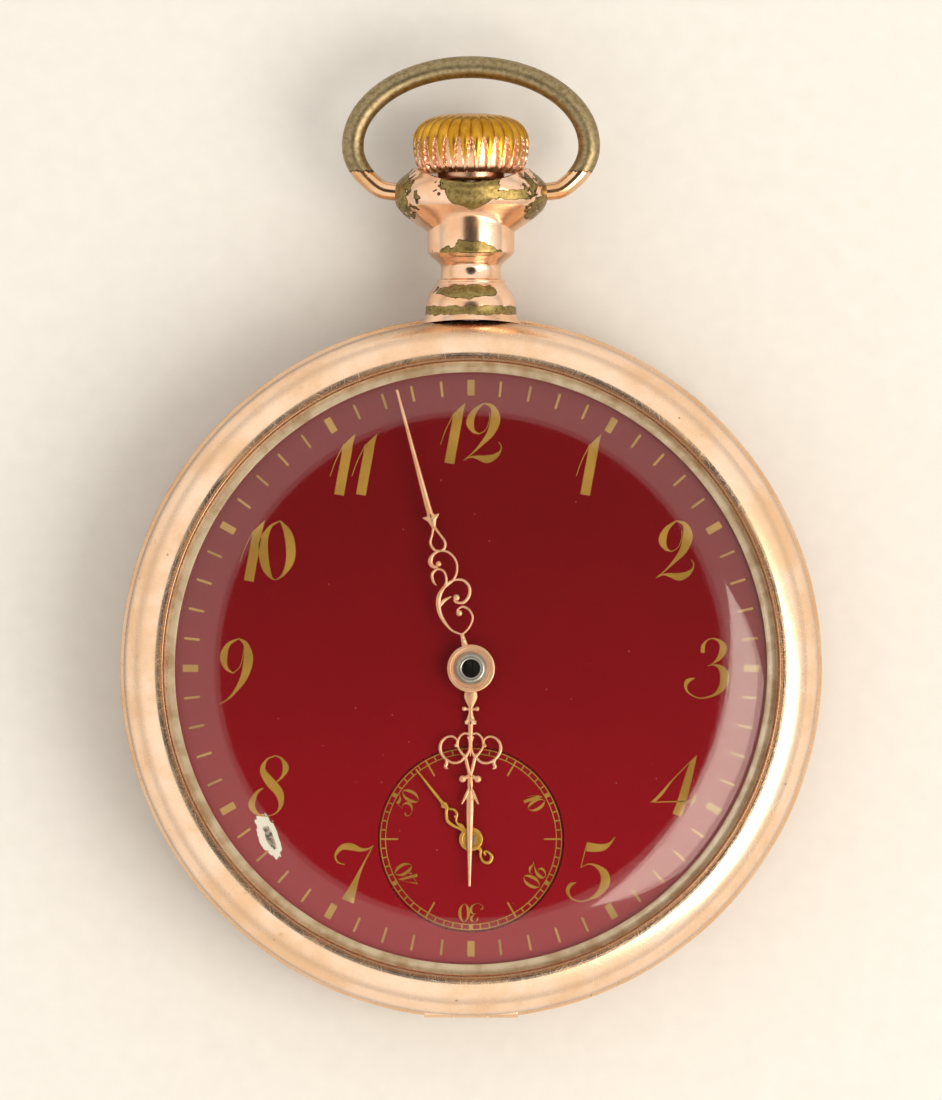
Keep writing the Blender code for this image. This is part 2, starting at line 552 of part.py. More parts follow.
def bridges():
    r = BRIDGE_R
    chord = 0.4
    left, right = (-20.35, -0.8), (20.0, 3.9)
    first = math.degrees(math.atan2(right[1] + chord, right[0]))
    upper = arc(r, (0, 0), first, 180 - 2.0, 25)
    stem_slot = [(2.3, 20.6), (2.3, 13.5), (-2.3, 13.5), (-2.3, 20.6)]
    head = [p for p in upper if p[0] > 2.3] + stem_slot + [p for p in upper if p[0] < -2.3]
    head += [(-20.3, 0.9)] + arc(BALANCE_R + 0.5, BALANCE, 144, 46, 9)
    holes = [ring(1.0 + RUN, BARREL, 16), ring(1.0 + RUN, CROWN_WHEEL, 16), ring(0.32, CLICK, 10)]
    bridge("barrel_bridge", [head] + holes, BARREL_BRIDGE_Z, FEET["barrel_bridge"])
    round_balance = arc(BALANCE_R + 0.7, BALANCE, 156, 246, 11)
    lower = [(9.2, -17.6)] + arc(r, (0, 0), -64, -178, 17)
    outline = [left, (round_balance[0][0], round_balance[0][1])] + round_balance[1:] + lower
    pivots = [ring(0.4, at, 12) for at in (CENTRE, THIRD, FOURTH, ESCAPE)]
    bridge("train_bridge", [outline] + pivots, BRIDGE_Z, FEET["train_bridge"])
    at = FEET["balance_cock"][0]
    arm = arc(2.3, BALANCE, 15, 165, 9) + arc(2.1, at, 190, 350, 9)
    bridge("balance_cock", [arm, ring(0.4, BALANCE, 12)], COCK_Z, FEET["balance_cock"])
    foot = (12.6, -9.4)
    bar = arc(1.0, FORK, 60, 240, 7) + arc(1.0, foot, 240, 420, 7)
    small = flat("pallet_cock", [bar, ring(0.4, FORK, 12)], (4.85, 5.5), NICKEL)
    join(small, rod("pallet_cock_foot", 0.9, 5.3, PLATE_Z[0] - 0.02, at=(*foot, 0)))


def movement_screws():
    number = 0
    for name, z in (("barrel_bridge", BARREL_BRIDGE_Z), ("train_bridge", BRIDGE_Z),
                    ("balance_cock", COCK_Z)):
        for at in FEET[name]:
            number += 1
            high = z[0] - 0.02
            low = max(high - 0.4, CUVETTE_TOP_Z + 0.08)
            screw_piece(f"bridge_screw_{number}", at, 1.0, (low, high), 6.0, SCREW_SHANK_R)
    for k, at in enumerate(CASE_SCREWS):
        high = PLATE_Z[0] - 0.02
        screw_piece(f"case_screw_{k + 1}", at, 2.2, (high - 0.4, high), 8.2, 0.4)


def barrel():
    """The toothed drum that holds the mainspring, its cover, and the arbor through both."""
    drum_r, _, way = pitch(BARREL, CENTRE, BARREL_TEETH, CENTRE_LEAVES)
    floor = flat("barrel", [toothed(BARREL_TEETH, drum_r, way, BARREL), ring(1.16, BARREL, 16)],
                 (6.5, 6.95), BRASS)
    wall = [(7.1, 5.45), (7.6, 5.45), (7.6, 6.7), (7.1, 6.7)]
    join(floor, turned("barrel_wall", wall, None, (*BARREL, 0), steps=24))
    flat("barrel_cover", [ring(7.0, BARREL, 24), ring(1.16, BARREL, 16)], (5.4, 5.65), BRASS)
    turns, thick = 3, 0.16
    count = int(turns * 16)
    coil = []
    for edge in (0, thick):
        side = []
        for i in range(count + 1):
            radius = 4.6 + 2.2 * i / count + edge
            turn = 2 * math.pi * turns * i / count
            side.append((BARREL[0] + radius * math.cos(turn), BARREL[1] + radius * math.sin(turn)))
        coil += side if not edge else side[::-1]
    flat("mainspring", [coil], (5.75, 6.4), BLUE_STEEL)
    low, high = RATCHET_Z
    core = [(0, low - 0.35), (0, 8.2), (1.0, 8.2), (1.0, low - 0.02), (1.5, low - 0.02)]
    core += [(1.5, low - 0.35)]
    turned("barrel_arbor", core, STEEL, (*BARREL, 0), steps=16)


def going_train():
    """Centre, third, fourth and escape wheels, each riveted to its own arbor."""
    _, leaf_r, way = pitch(BARREL, CENTRE, BARREL_TEETH, CENTRE_LEAVES)
    arbor("centre_arbor", CENTRE, 0.34, (3.8, 8.35), CENTRE_LEAVES, leaf_r,
          way + math.pi + math.pi / CENTRE_LEAVES, (5.5, 7.0))
    pairs = (
        ("centre_wheel", "third_arbor", CENTRE, THIRD, CENTRE_TEETH, THIRD_LEAVES,
         (4.85, 5.1), (4.7, 5.25), (3.8, 8.2), 4),
        ("third_wheel", "fourth_arbor", THIRD, FOURTH, THIRD_TEETH, FOURTH_LEAVES,
         (4.35, 4.6), (4.25, 4.75), (3.8, 10.0), 5),
        ("fourth_wheel", "escape_arbor", FOURTH, ESCAPE, FOURTH_TEETH, ESCAPE_LEAVES,
         (5.6, 5.85), (5.45, 6.0), (3.8, 8.2), 5),
    )
    for wheel_name, arbor_name, a, b, teeth, leaves, wheel_z, leaf_z, span, spokes in pairs:
        wheel_r, leaf_r, way = pitch(a, b, teeth, leaves)
        wheel(wheel_name, a, teeth, wheel_r, way, wheel_z, 0.34 + RUN, spokes, BRASS)
        arbor(arbor_name, b, 0.34, span, leaves, leaf_r, way + math.pi + math.pi / leaves, leaf_z)
    hooks = []
    for k in range(ESCAPE_TEETH):
        turn = 360.0 * k / ESCAPE_TEETH
        hooks += arc(2.75, ESCAPE, turn, turn + 9, 2) + arc(3.6, ESCAPE, turn + 15, turn + 17, 2)
    spokes = [arc(2.2, ESCAPE, t + 14, t + 76, 5) + arc(1.1, ESCAPE, t + 62, t + 28, 2)
              for t in (0, 90, 180, 270)]
    flat("escape_wheel", [hooks, ring(0.34 + RUN, ESCAPE, 12)] + spokes, (6.3, 6.5), STEEL)


def escapement():
    """The lever with its two stones, and the balance with its roller, pin and spring."""
    line = math.atan2(BALANCE[1] - FORK[1], BALANCE[0] - FORK[0])

    def at_fork(u, v):
        c, s = math.cos(line), math.sin(line)
        return (FORK[0] + u * c - v * s, FORK[1] + u * s + v * c)

    half = [(-0.55, 0.45), (-0.45, 2.3), (-0.9, 2.75), (-0.9, 3.1), (-0.2, 3.1), (0.15, 2.5)]
    half += [(0.2, 0.8), (0.6, 0.45), (3.7, 0.22), (4.3, 0.55), (4.42, 0.5), (4.42, 0.25), (4.0, 0.0)]
    outline = [at_fork(u, v) for u, v in half[:-1]] + [at_fork(4.0, 0.0)]
    outline += [at_fork(u, -v) for u, v in half[-2::-1]]
    lever = flat("pallet_fork", [outline], (6.2, 6.6), STEEL)
    join(lever, rod("fork_staff", 0.3, 4.95, 8.2, at=(*FORK, 0), steps=12))
    for name, side in (("entry_stone", 1), ("exit_stone", -1)):
        corners = [(-1.35, 2.76), (-0.95, 2.76), (-0.95, 3.1), (-1.35, 3.1)]
        flat(name, [[at_fork(u, side * v) for u, v in corners]], (6.2, 6.6), RUBY)
    rim = [ring(BALANCE_R, BALANCE, 36), ring(0.36 + RUN, BALANCE, 12)]
    for base in (0, 180):
        first, last = base + line * 180 / math.pi + 7, base + line * 180 / math.pi + 173
        rim.append(arc(BALANCE_R - 0.8, BALANCE, first, last, 19)
                   + arc(1.5, BALANCE, last - 25, first + 25, 5))
    flat("balance_wheel", rim, (3.9, 4.5), BRASS)
    staff = [(0, 2.7), (0, 8.2), (0.36, 8.2), (0.36, 6.1), (1.5, 6.1), (1.5, 5.85)]
    staff += [(0.36, 5.85), (0.36, 2.7)]
    turned("balance_staff", staff, STEEL, (*BALANCE, 0), steps=16)
    near = (BALANCE[0] - 1.1 * math.cos(line), BALANCE[1] - 1.1 * math.sin(line))
    rod("impulse_pin", 0.15, 6.12, 6.6, RUBY, (*near, 0), steps=8)
    turns = 4
    count = turns * 12
    coil = []
    for edge in (0, 0.07):
        side = []
        for i in range(count + 1):
            radius, turn = 0.7 + 2.4 * i / count + edge, 2 * math.pi * turns * i / count
            side.append((BALANCE[0] + radius * math.cos(turn), BALANCE[1] + radius * math.sin(turn)))
        coil += side if not edge else side[::-1]
    flat("hairspring", [coil], (3.45, 3.65), BLUE_STEEL)


def motion_works():
    """The gears under the dial that turn the hour hand once in twelve turns of the minute hand."""
    cannon_r, minute_r, way = pitch(CENTRE, MINUTE, CANNON_LEAVES, MINUTE_TEETH)
    arbor("cannon_pinion", CENTRE, 0.55, (8.4, 11.3), CANNON_LEAVES, cannon_r, way, (8.45, 8.72))
    opposite = way + math.pi + math.pi / MINUTE_TEETH
    gear = flat("minute_wheel", [toothed(MINUTE_TEETH, minute_r, opposite, MINUTE)],
                (8.48, 8.7), BRASS)
    leaf_r, hour_r, out = pitch(MINUTE, CENTRE, MINUTE_LEAVES, HOUR_TEETH)
    pinion = arbor("minute_pinion", MINUTE, 0.3, (7.6, 9.08), MINUTE_LEAVES, leaf_r, out, (8.6, 9.05))
    join(gear, pinion)
    toward = out + math.pi + math.pi / HOUR_TEETH
    hour = flat("hour_wheel", [toothed(HOUR_TEETH, hour_r, toward, CENTRE), ring(0.64, CENTRE, 16)],
                (8.82, 9.05), BRASS)
    pipe = [(0.64, 8.82), (0.95, 8.82), (0.95, 10.35), (0.64, 10.35)]
    join(hour, turned("hour_pipe", pipe, None, steps=16))


# ---- dial and hands ----
def dials():
    low, high = DIAL_Z
    hole = SUB_DIAL_R
    flat("dial", [ring(DIAL_R, count=48), ring(hole, FOURTH, 40), ring(1.15, CENTRE, 16)],
         (low, high), RED_ENAMEL)
    top = high - SUB_DIAL_SINK
    flat("seconds_dial", [ring(hole - RUN, FOURTH, 40), ring(0.5, FOURTH, 12)],
         (low - 0.02, top), RED_ENAMEL)


def hand(name, at, heading, z, length, tail, hub_r, bore_r, widths, material):
    """A hand as one blade: a round hub and an outline that swells where its scrolls are."""
    c, s = math.cos(heading), math.sin(heading)
    side = [(hub_r * 0.92, hub_r * 0.4)] + [(u * length, v) for u, v in widths]
    points = side + [(length, 0.0)] + [(u, -v) for u, v in side[::-1]]
    root = math.degrees(math.atan2(side[0][1], side[0][0])) + 6
    round_hub = arc(hub_r, (0, 0), 360 - root, root, 17)
    if tail:
        round_hub = (arc(hub_r, (0, 0), 360 - root, 190, 9) + [(-tail, -0.12), (-tail, 0.12)]
                     + arc(hub_r, (0, 0), 170, root, 9))
    outline = [(at[0] + u * c - v * s, at[1] + u * s + v * c) for u, v in points + round_hub]
    return flat(name, [outline, ring(bore_r, at, 16)], (z, z + HAND_THICK), material)


def hands():
    """At rest they show about two and a half minutes to six."""
    minute = math.radians(90 + 14.9)
    hour = math.radians(-90.4)
    seconds = math.radians(90 + 38.0)
    scroll = ((0.17, 0.3), (0.28, 1.1), (0.4, 0.9), (0.46, 0.35), (0.52, 0.3), (0.56, 0.12))
    hand("minute_hand", CENTRE, minute, 10.75, 20.8, 0, 1.72, 0.6, scroll, ROSE_GOLD)
    scroll = ((0.16, 0.2), (0.3, 0.5), (0.37, 2.1), (0.47, 1.2), (0.62, 0.9), (0.66, 0.12))
    hand("hour_hand", CENTRE, hour, 10.15, 15.7, 0, 1.62, 1.0, scroll, ROSE_GOLD)
    scroll = ((0.2, 0.15), (0.42, 0.5), (0.6, 0.15), (0.9, 0.05))
    hand("seconds_hand", FOURTH, seconds, 9.82, 6.1, 2.0, 0.82, 0.4, scroll, YELLOW_GOLD)


back_cover()
case_middle()
hinge_pins()
cuvette()
bezel_and_crystal()
pendant()
bow()
crown()
keyless_works()
main_plate()
bridges()
movement_screws()
barrel()
going_train()
escapement()
motion_works()
dials()
hands()
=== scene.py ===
# %% [markdown]
# # An open-face pocket watch
# The watch lies on its back: +Z rises out of the dial, +Y points at twelve o'clock.
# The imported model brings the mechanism, with every piece in its place. This lesson gives the watch its
# looks: the case, the dial and the hands become smooth, detailed surfaces, and the works get real finishes.

# %% Load the mechanism
import math
import re

import bpy
import numpy as np
from mathutils import Matrix, Vector


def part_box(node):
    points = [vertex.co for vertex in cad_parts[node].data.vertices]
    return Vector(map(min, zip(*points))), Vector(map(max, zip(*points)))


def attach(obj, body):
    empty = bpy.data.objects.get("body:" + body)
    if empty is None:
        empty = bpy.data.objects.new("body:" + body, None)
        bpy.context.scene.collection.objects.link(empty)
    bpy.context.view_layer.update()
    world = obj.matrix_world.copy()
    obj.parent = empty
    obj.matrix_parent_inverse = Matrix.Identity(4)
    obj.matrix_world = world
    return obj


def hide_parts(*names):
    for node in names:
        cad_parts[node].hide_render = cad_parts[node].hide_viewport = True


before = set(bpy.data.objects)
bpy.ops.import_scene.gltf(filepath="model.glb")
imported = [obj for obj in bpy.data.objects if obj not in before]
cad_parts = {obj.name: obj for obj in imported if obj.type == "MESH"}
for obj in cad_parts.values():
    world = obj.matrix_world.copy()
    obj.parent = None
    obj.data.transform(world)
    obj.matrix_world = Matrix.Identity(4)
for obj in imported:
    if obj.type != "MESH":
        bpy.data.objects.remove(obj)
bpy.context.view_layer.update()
MM = 0.001


# %% [markdown]
# ## Measures
# Every place comes from the mechanism itself. A box gives the lowest and highest corner of a piece, so
# a radius is half a width, and a level is a height. All measures here are in millimetres.

# %% Read the sizes
def corners(name):
    """The lowest and highest corner of a piece, in millimetres, as two arrays."""
    low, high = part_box(name)
    return np.array(low) / MM, np.array(high) / MM


def level(name, top=True):
    """The height of a piece's top or underside."""
    return float(corners(name)[1 if top else 0][2])


def radius(name):
    """Half of the width across a round piece."""
    low, high = corners(name)
    return float(high[0] - low[0]) / 2


BEAD_R = radius("case_middle") - 0.1
BEZEL_R = radius("bezel")
BEZEL_TOP = level("bezel")
CRYSTAL_R = radius("crystal")
CRYSTAL_TOP = level("crystal")
DIAL_R = radius("dial")
DIAL_TOP = level("dial")
SECONDS_DIAL_TOP = level("seconds_dial")
SECONDS_R = radius("seconds_dial")
SECONDS_Y = float(corners("seconds_dial")[0][1] + corners("seconds_dial")[1][1]) / 2
BACK_TOP = level("back_cover") - 0.6
print(f"bead {BEAD_R:.2f}, bezel {BEZEL_R:.2f}, dial {DIAL_R:.2f}, crystal {CRYSTAL_R:.2f} mm")


# %% [markdown]
# ## Surfaces from arrays
# A turned piece is a profile carried round an axis, and a wire or a hand is a section carried along a path.
# Both are grids of points: rows by columns. Where a row shrinks to one point, its copies are welded,
# so that poles and seams are closed, and the faces there become triangles.

# %% Build meshes from grids
def grid_faces(rows, columns, close_rows):
    """Quads between neighbours of a grid: each joins a point, the next column, and both in the next row."""
    numbers = np.arange(rows * columns).reshape(rows, columns)
    if close_rows:
        numbers = np.vstack([numbers, numbers[:1]])
    numbers = np.hstack([numbers, numbers[:, :1]])
    faces = [numbers[:-1, :-1], numbers[1:, :-1], numbers[1:, 1:], numbers[:-1, 1:]]
    return np.stack([corner.ravel() for corner in faces], axis=1)


def closed_shell(points, close_rows=False):
    """Points and faces of one closed shell. Its signed volume, the sum of each face's corner triple
    product, tells whether it faces outwards, and the faces are turned round where it doesn't."""
    rows, columns = points.shape[:2]
    faces = grid_faces(rows, columns, close_rows)
    flat = points.reshape(-1, 3)
    a, b, c, d = (flat[faces[:, i]] for i in range(4))
    volume = np.einsum("ij,ij->i", a, np.cross(b, c) + np.cross(c, d)).sum()
    return flat, faces if volume > 0 else faces[:, ::-1]


def weld(points, faces, within=1e-4):
    """Makes points closer than this one, and sorts the faces into quads and triangles."""
    _, first, index = np.unique(np.round(points / within).astype(np.int64), axis=0,
                                return_index=True, return_inverse=True)
    faces = index.reshape(-1)[faces]
    same = faces == np.roll(faces, -1, axis=1)
    quads = faces[same.sum(axis=1) == 0]
    pinched = faces[same.sum(axis=1) == 1]
    start = np.argmax(pinched == np.roll(pinched, -1, axis=1), axis=1)
    order = (start[:, None] + np.array([1, 2, 3])) % 4
    triangles = np.take_along_axis(pinched, order, axis=1)
    return points[first], quads, triangles


def mesh_of(name, shells):
    """A mesh made of several closed shells."""
    starts = np.cumsum([0] + [len(points) for points, _ in shells])
    points = np.concatenate([points for points, _ in shells])
    faces = np.concatenate([faces + start for (_, faces), start in zip(shells, starts)])
    points, quads, triangles = weld(points, faces)
    mesh = bpy.data.meshes.new(name)
    mesh.from_pydata((points * MM).tolist(), [], quads.tolist() + triangles.tolist())
    return mesh


def piece(name, shells, body, material, replaced=(), sharp=40.0, values=None):
    """One finished piece: its shells are joined, it rides on a body, and it stands for the nodes replaced.
    values is a function of the points (in mm) that gives each a number from 0 to 1, for the material."""
    mesh = shells if isinstance(shells, bpy.types.Mesh) else mesh_of(name, shells)
    mesh.name = name
    mesh.shade_smooth()
    mesh.set_sharp_from_angle(angle=math.radians(sharp))
    if values is not None:
        attribute = mesh.attributes.new("tone", "FLOAT", "POINT")
        points = np.array([vertex.co for vertex in mesh.vertices]) / MM
        attribute.data.foreach_set("value", values(points).astype(np.float32))
    mesh.materials.clear()
    mesh.materials.append(material)
    made = bpy.data.objects.new(name, mesh)
    bpy.context.scene.collection.objects.link(made)
    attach(made, body)
    if replaced:
        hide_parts(*replaced)
    print(f"{name}: {len(mesh.vertices)} points, {len(mesh.polygons)} faces")
    return made


# %% Profiles and paths
def points(text):
    """Points typed as text: commas part them, and spaces part the numbers of each."""
    return [tuple(float(number) for number in point.split()) for point in text.split(",")]


def smooth(points, per=8, closed=False):
    """A smooth line through points (a Catmull-Rom spline): between two of them it is the cubic whose
    slope at each end is half the step between that end's two neighbours. Extra columns, such as a
    width, are carried along."""
    p = np.asarray(points, float)
    if closed:
        p = np.vstack([p[-1:], p, p[:2]])
    else:
        p = np.vstack([2 * p[0] - p[1], p, 2 * p[-1] - p[-2]])
    t = np.linspace(0, 1, per, endpoint=False)[None, :, None]
    a, b, c, d = (p[i:len(p) - 3 + i, None, :] for i in range(4))
    line = 0.5 * (2 * b + (c - a) * t + (2 * a - 5 * b + 4 * c - d) * t ** 2
                  + (3 * b - a - 3 * c + d) * t ** 3)
    line = line.reshape(-1, p.shape[1])
    return line if closed else np.vstack([line, p[-2]])


def rounded(points, blend=0.12, per=4, closed=False):
    """Straight runs whose corners are rounded: each corner becomes an arc (a quadratic curve) that starts
    and ends at most blend mm away from it."""
    p = np.asarray(points, float)
    before, after = np.roll(p, 1, axis=0) - p, np.roll(p, -1, axis=0) - p
    lengths = [np.linalg.norm(side, axis=1, keepdims=True) for side in (before, after)]
    starts, ends = (p + side * np.minimum(0.45, blend / np.maximum(length, 1e-9))
                    for side, length in zip((before, after), lengths))
    t = np.linspace(0, 1, per)[None, :, None]
    arcs = (1 - t) ** 2 * starts[:, None] + 2 * t * (1 - t) * p[:, None] + t ** 2 * ends[:, None]
    if closed:
        return arcs.reshape(-1, p.shape[1])
    return np.vstack([p[:1], arcs[1:-1].reshape(-1, p.shape[1]), p[-1:]])


def lathe(profile, steps=256, centre=(0, 0, 0), along="Z", ring=False):
    """A turned shell: each profile point (radius, height) goes once round the axis through centre."""
    turns = np.linspace(0, 2 * np.pi, steps, endpoint=False)
    r, h = np.asarray(profile, float)[:, :2].T[:, :, None]
    x, y, z = r * np.cos(turns), r * np.sin(turns), h + 0 * turns
    order = {"Z": (x, y, z), "Y": (x, z, y), "X": (z, x, y)}[along]
    return closed_shell(np.stack(order, axis=2) + np.array(centre), close_rows=ring)


UP = np.array((0.0, 0.0, 1.0))


def carry(path, widths, section):
    """A section carried along a path: at each point the section's first number goes sideways (across the
    path and up), times the width there, and its second goes up. Both ends close on their middle."""
    path = np.asarray(path, float)
    ahead = np.gradient(path, axis=0)
    side = np.cross(ahead, UP)
    side /= np.maximum(np.linalg.norm(side, axis=1, keepdims=True), 1e-9)
    section = np.asarray(section, float)
    widths = np.broadcast_to(np.asarray(widths, float).reshape(-1, 1, 1), (len(path), 1, 1))
    rows = (path[:, None, :] + side[:, None, :] * section[None, :, :1] * widths
            + UP * section[None, :, 1:])
    ends = [np.repeat(rows[i].mean(axis=0)[None, None, :], len(section), axis=1) for i in (0, -1)]
    return closed_shell(np.concatenate([ends[0], rows, ends[1]], axis=0))


# %% [markdown]
# ## Colour and materials
# A colour is chosen as the eye sees it, in sRGB, and turned to the linear light that Blender works in.
# One small function adds a node with its settings, and feeds its inputs; each finish below is built with it.

# %% Colour and node helpers
def linear(code):
    """sRGB hex to linear light: a channel c becomes c / 12.92 where dark, else ((c + 0.055) / 1.055) ^ 2.4."""
    channel = np.array([int(code[i:i + 2], 16) for i in (1, 3, 5)]) / 255
    light = np.where(channel <= 0.04045, channel / 12.92, ((channel + 0.055) / 1.055) ** 2.4)
    return (*light.tolist(), 1.0)


EASED = {"interpolation_type": "SMOOTHSTEP"}
COLOURS = {"data_type": "RGBA"}
TIMES, TIMES_PLUS = {"operation": "MULTIPLY"}, {"operation": "MULTIPLY_ADD"}


def feed(tree, node, inputs):
    """Sets a node's inputs, by name or number. Each takes a number, a hex colour, an output, or a whole
    node, which stands for its first output in use."""
    for name, value in inputs.items():
        if isinstance(value, bpy.types.Node):
            value = next(output for output in value.outputs if output.enabled)
        if isinstance(value, bpy.types.NodeSocket):
            tree.links.new(value, node.inputs[name])
        else:
            node.inputs[name].default_value = linear(value) if isinstance(value, str) else value


def add(tree, kind, inputs=None, **settings):
    """Adds one node with its settings, and feeds its inputs."""
    made = tree.nodes.new("ShaderNode" + kind)
    for name, value in settings.items():
        setattr(made, name, value)
    feed(tree, made, inputs or {})
    return made


def per_mm(size):
    """A pattern's scale from the size of its features in millimetres, for coordinates in metres."""
    return 1 / (size * MM)


def start(name):
    """An empty material with a shader on its output: the tree, the shader and the object coordinates."""
    material = bpy.data.materials.new(name)
    material.use_nodes = True
    tree = material.node_tree
    tree.nodes.clear()
    shader = add(tree, "BsdfPrincipled")
    add(tree, "OutputMaterial", {"Surface": shader})
    return material, tree, shader, add(tree, "TexCoord").outputs["Object"]


# %% [markdown]
# ## Worn gold
# The case is gold-filled: a thin sheet of rose gold over brass. After a century of pockets its polish has
# gone soft, with fine hairlines in every direction, cloudy tarnish and a few dark pits.
# Hairlines are stretched noise, turned three ways and used as a slight bump and as a change of roughness.

# %% Gold finish
def hairlines(tree, place, width_mm, length_mm, turns):
    """Fine scratches: noise squeezed across and drawn out along several directions, the brightest kept."""
    found = None
    for turn in turns:
        moved = add(tree, "Mapping", {"Vector": place, "Rotation": (0.3 * turn, 0.2, turn),
                                      "Scale": (width_mm * MM, length_mm * MM, length_mm * MM)},
                    vector_type="TEXTURE")
        lines = add(tree, "TexNoise", {"Vector": moved, "Scale": 1.0, "Detail": 2.0, "Roughness": 0.6})
        lines = add(tree, "MapRange", {0: lines, 1: 0.60, 2: 0.72}, **EASED)
        found = lines if found is None else add(tree, "Math", {0: found, 1: lines}, operation="MAXIMUM")
    return found


def worn_metal(name, bright, deep, stain, rough=(0.16, 0.3), cloud_mm=4.0, scratch=0.25, pits=True,
               tone=None):
    """Polished metal that has been handled: colour drifts between bright and deep in clouds, stains gather
    in spots, and hairlines roughen it. tone is a colour that the mesh's own tone value brings in."""
    material, tree, shader, place = start(name)
    clouds = add(tree, "TexNoise", {"Vector": place, "Scale": per_mm(cloud_mm), "Detail": 4.0,
                                    "Roughness": 0.6})
    spots = add(tree, "TexNoise", {"Vector": place, "Scale": per_mm(1.1), "Detail": 6.0, "Roughness": 0.7})
    drift = add(tree, "MapRange", {0: clouds, 1: 0.35, 2: 0.68}, **EASED)
    colour = add(tree, "Mix", {0: drift, 6: bright, 7: deep}, **COLOURS)
    stained = add(tree, "MapRange", {0: spots, 1: 0.60, 2: 0.78, 4: 0.55}, **EASED)
    colour = add(tree, "Mix", {0: stained, 6: colour, 7: stain}, **COLOURS)
    if tone:
        share = add(tree, "Attribute", attribute_name="tone").outputs["Fac"]
        colour = add(tree, "Mix", {0: share, 6: colour, 7: tone}, **COLOURS)
    if pits:
        # Pits are 0.25 mm across, one in a few square millimetres.
        cells = add(tree, "TexVoronoi", {"Vector": place, "Scale": per_mm(1.6), "Randomness": 1.0})
        dots = add(tree, "MapRange", {0: cells, 1: 0.035, 2: 0.075, 3: 1.0, 4: 0.0}, **EASED)
        dots = add(tree, "Math", {0: dots, 1: 0.7}, **TIMES)
        colour = add(tree, "Mix", {0: dots, 6: colour, 7: stain}, **COLOURS)
    marks = hairlines(tree, place, 0.05, 3.0, (0.2, 1.3, 2.4))
    haze = add(tree, "MapRange", {0: clouds, 1: 0.3, 2: 0.7, 3: rough[0], 4: rough[1]}, **EASED)
    scratched = add(tree, "Bump", {"Height": marks, "Strength": scratch, "Distance": 0.004 * MM}, invert=True)
    dents = add(tree, "TexNoise", {"Vector": place, "Scale": per_mm(2.6), "Detail": 2.0})
    waves = add(tree, "Bump", {"Height": dents, "Strength": 0.35, "Distance": 0.02 * MM, "Normal": scratched})
    feed(tree, shader, {"Base Color": colour, "Normal": waves, "Metallic": 1.0,
                        "Roughness": add(tree, "Math", {0: marks, 1: 0.14, 2: haze}, **TIMES_PLUS)})
    return material


# Rose gold over brass: pale pink-cream where polished, warmer and browner in the clouds.
rose_gold = worn_metal("worn_rose_gold", "#F2CFAE", "#E6B98E", "#9A6B3E")
# Yellow gold: the dust cover and the collar of the crown, deeper and greener than the case.
yellow_gold = worn_metal("worn_yellow_gold", "#E3BE6B", "#C99A42", "#7A5A24", tone="#E8BFA0")
print("gold finishes:", rose_gold.name, yellow_gold.name)


# %% [markdown]
# ## Gold worn through to brass
# At the pendant and the bow, fingers have rubbed the gold sheet away. The brass beneath has gone olive, and
# the torn edge of the sheet is a thin, dark, ragged line. The mesh carries a value that is 1 in
# the middle of a worn patch, and noise eats at its edge.

# %% Worn-through gold
def worn_through(name, bright, deep, brass):
    """Gold with bare patches: the mesh's tone value plus noise is cut at one half, and a narrow band there
    is the dark edge. brass is a pair of colours."""
    material, tree, shader, place = start(name)
    edge, fray = "#2E2114", 0.6    # the torn sheet's dark rim, and how far noise eats into it
    middle = 0.5 + fray / 2
    clouds = add(tree, "TexNoise", {"Vector": place, "Scale": per_mm(2.5), "Detail": 4.0})
    fine = add(tree, "TexNoise", {"Vector": place, "Scale": per_mm(0.35), "Detail": 5.0, "Roughness": 0.7})
    share = add(tree, "Attribute", attribute_name="tone").outputs["Fac"]
    eaten = add(tree, "Math", {0: fine, 1: fray, 2: share}, **TIMES_PLUS)
    bare = add(tree, "MapRange", {0: eaten, 1: middle - 0.015, 2: middle + 0.015}, **EASED)
    rise = add(tree, "MapRange", {0: eaten, 1: middle - 0.045, 2: middle - 0.015}, **EASED)
    fall = add(tree, "MapRange", {0: eaten, 1: middle + 0.015, 2: middle + 0.06, 3: 1.0, 4: 0.0}, **EASED)
    clouded = add(tree, "MapRange", {0: clouds, 1: 0.35, 2: 0.65}, **EASED)
    grained = add(tree, "MapRange", {0: fine, 1: 0.35, 2: 0.7}, **EASED)
    gold = add(tree, "Mix", {0: clouded, 6: bright, 7: deep}, **COLOURS)
    base = add(tree, "Mix", {0: grained, 6: brass[0], 7: brass[1]}, **COLOURS)
    colour = add(tree, "Mix", {0: bare, 6: gold, 7: base}, **COLOURS)
    band = add(tree, "Math", {0: rise, 1: fall}, **TIMES)
    marks = hairlines(tree, place, 0.05, 2.0, (0.5, 1.6, 2.8))
    haze = add(tree, "MapRange", {0: clouds, 1: 0.3, 2: 0.7, 3: 0.14, 4: 0.24}, **EASED)
    step = add(tree, "Bump", {"Height": bare, "Strength": 0.6, "Distance": 0.03 * MM}, invert=True)
    scratched = add(tree, "Bump", {"Height": marks, "Strength": 0.25, "Distance": 0.004 * MM, "Normal": step},
                    invert=True)
    feed(tree, shader, {"Base Color": add(tree, "Mix", {0: band, 6: colour, 7: edge}, **COLOURS),
                        "Roughness": add(tree, "Math", {0: bare, 1: 0.2, 2: haze}, **TIMES_PLUS),
                        "Normal": scratched, "Metallic": 1.0})
    return material


pendant_gold = worn_through("pendant_gold", "#F6D2B6", "#EBBB95", ("#A08C58", "#6E5C32"))
bow_gold = worn_through("bow_gold", "#F0C8A2", "#DDAA78", ("#A39270", "#7C6E4C"))
print("worn-through finishes:", pendant_gold.name, bow_gold.name)


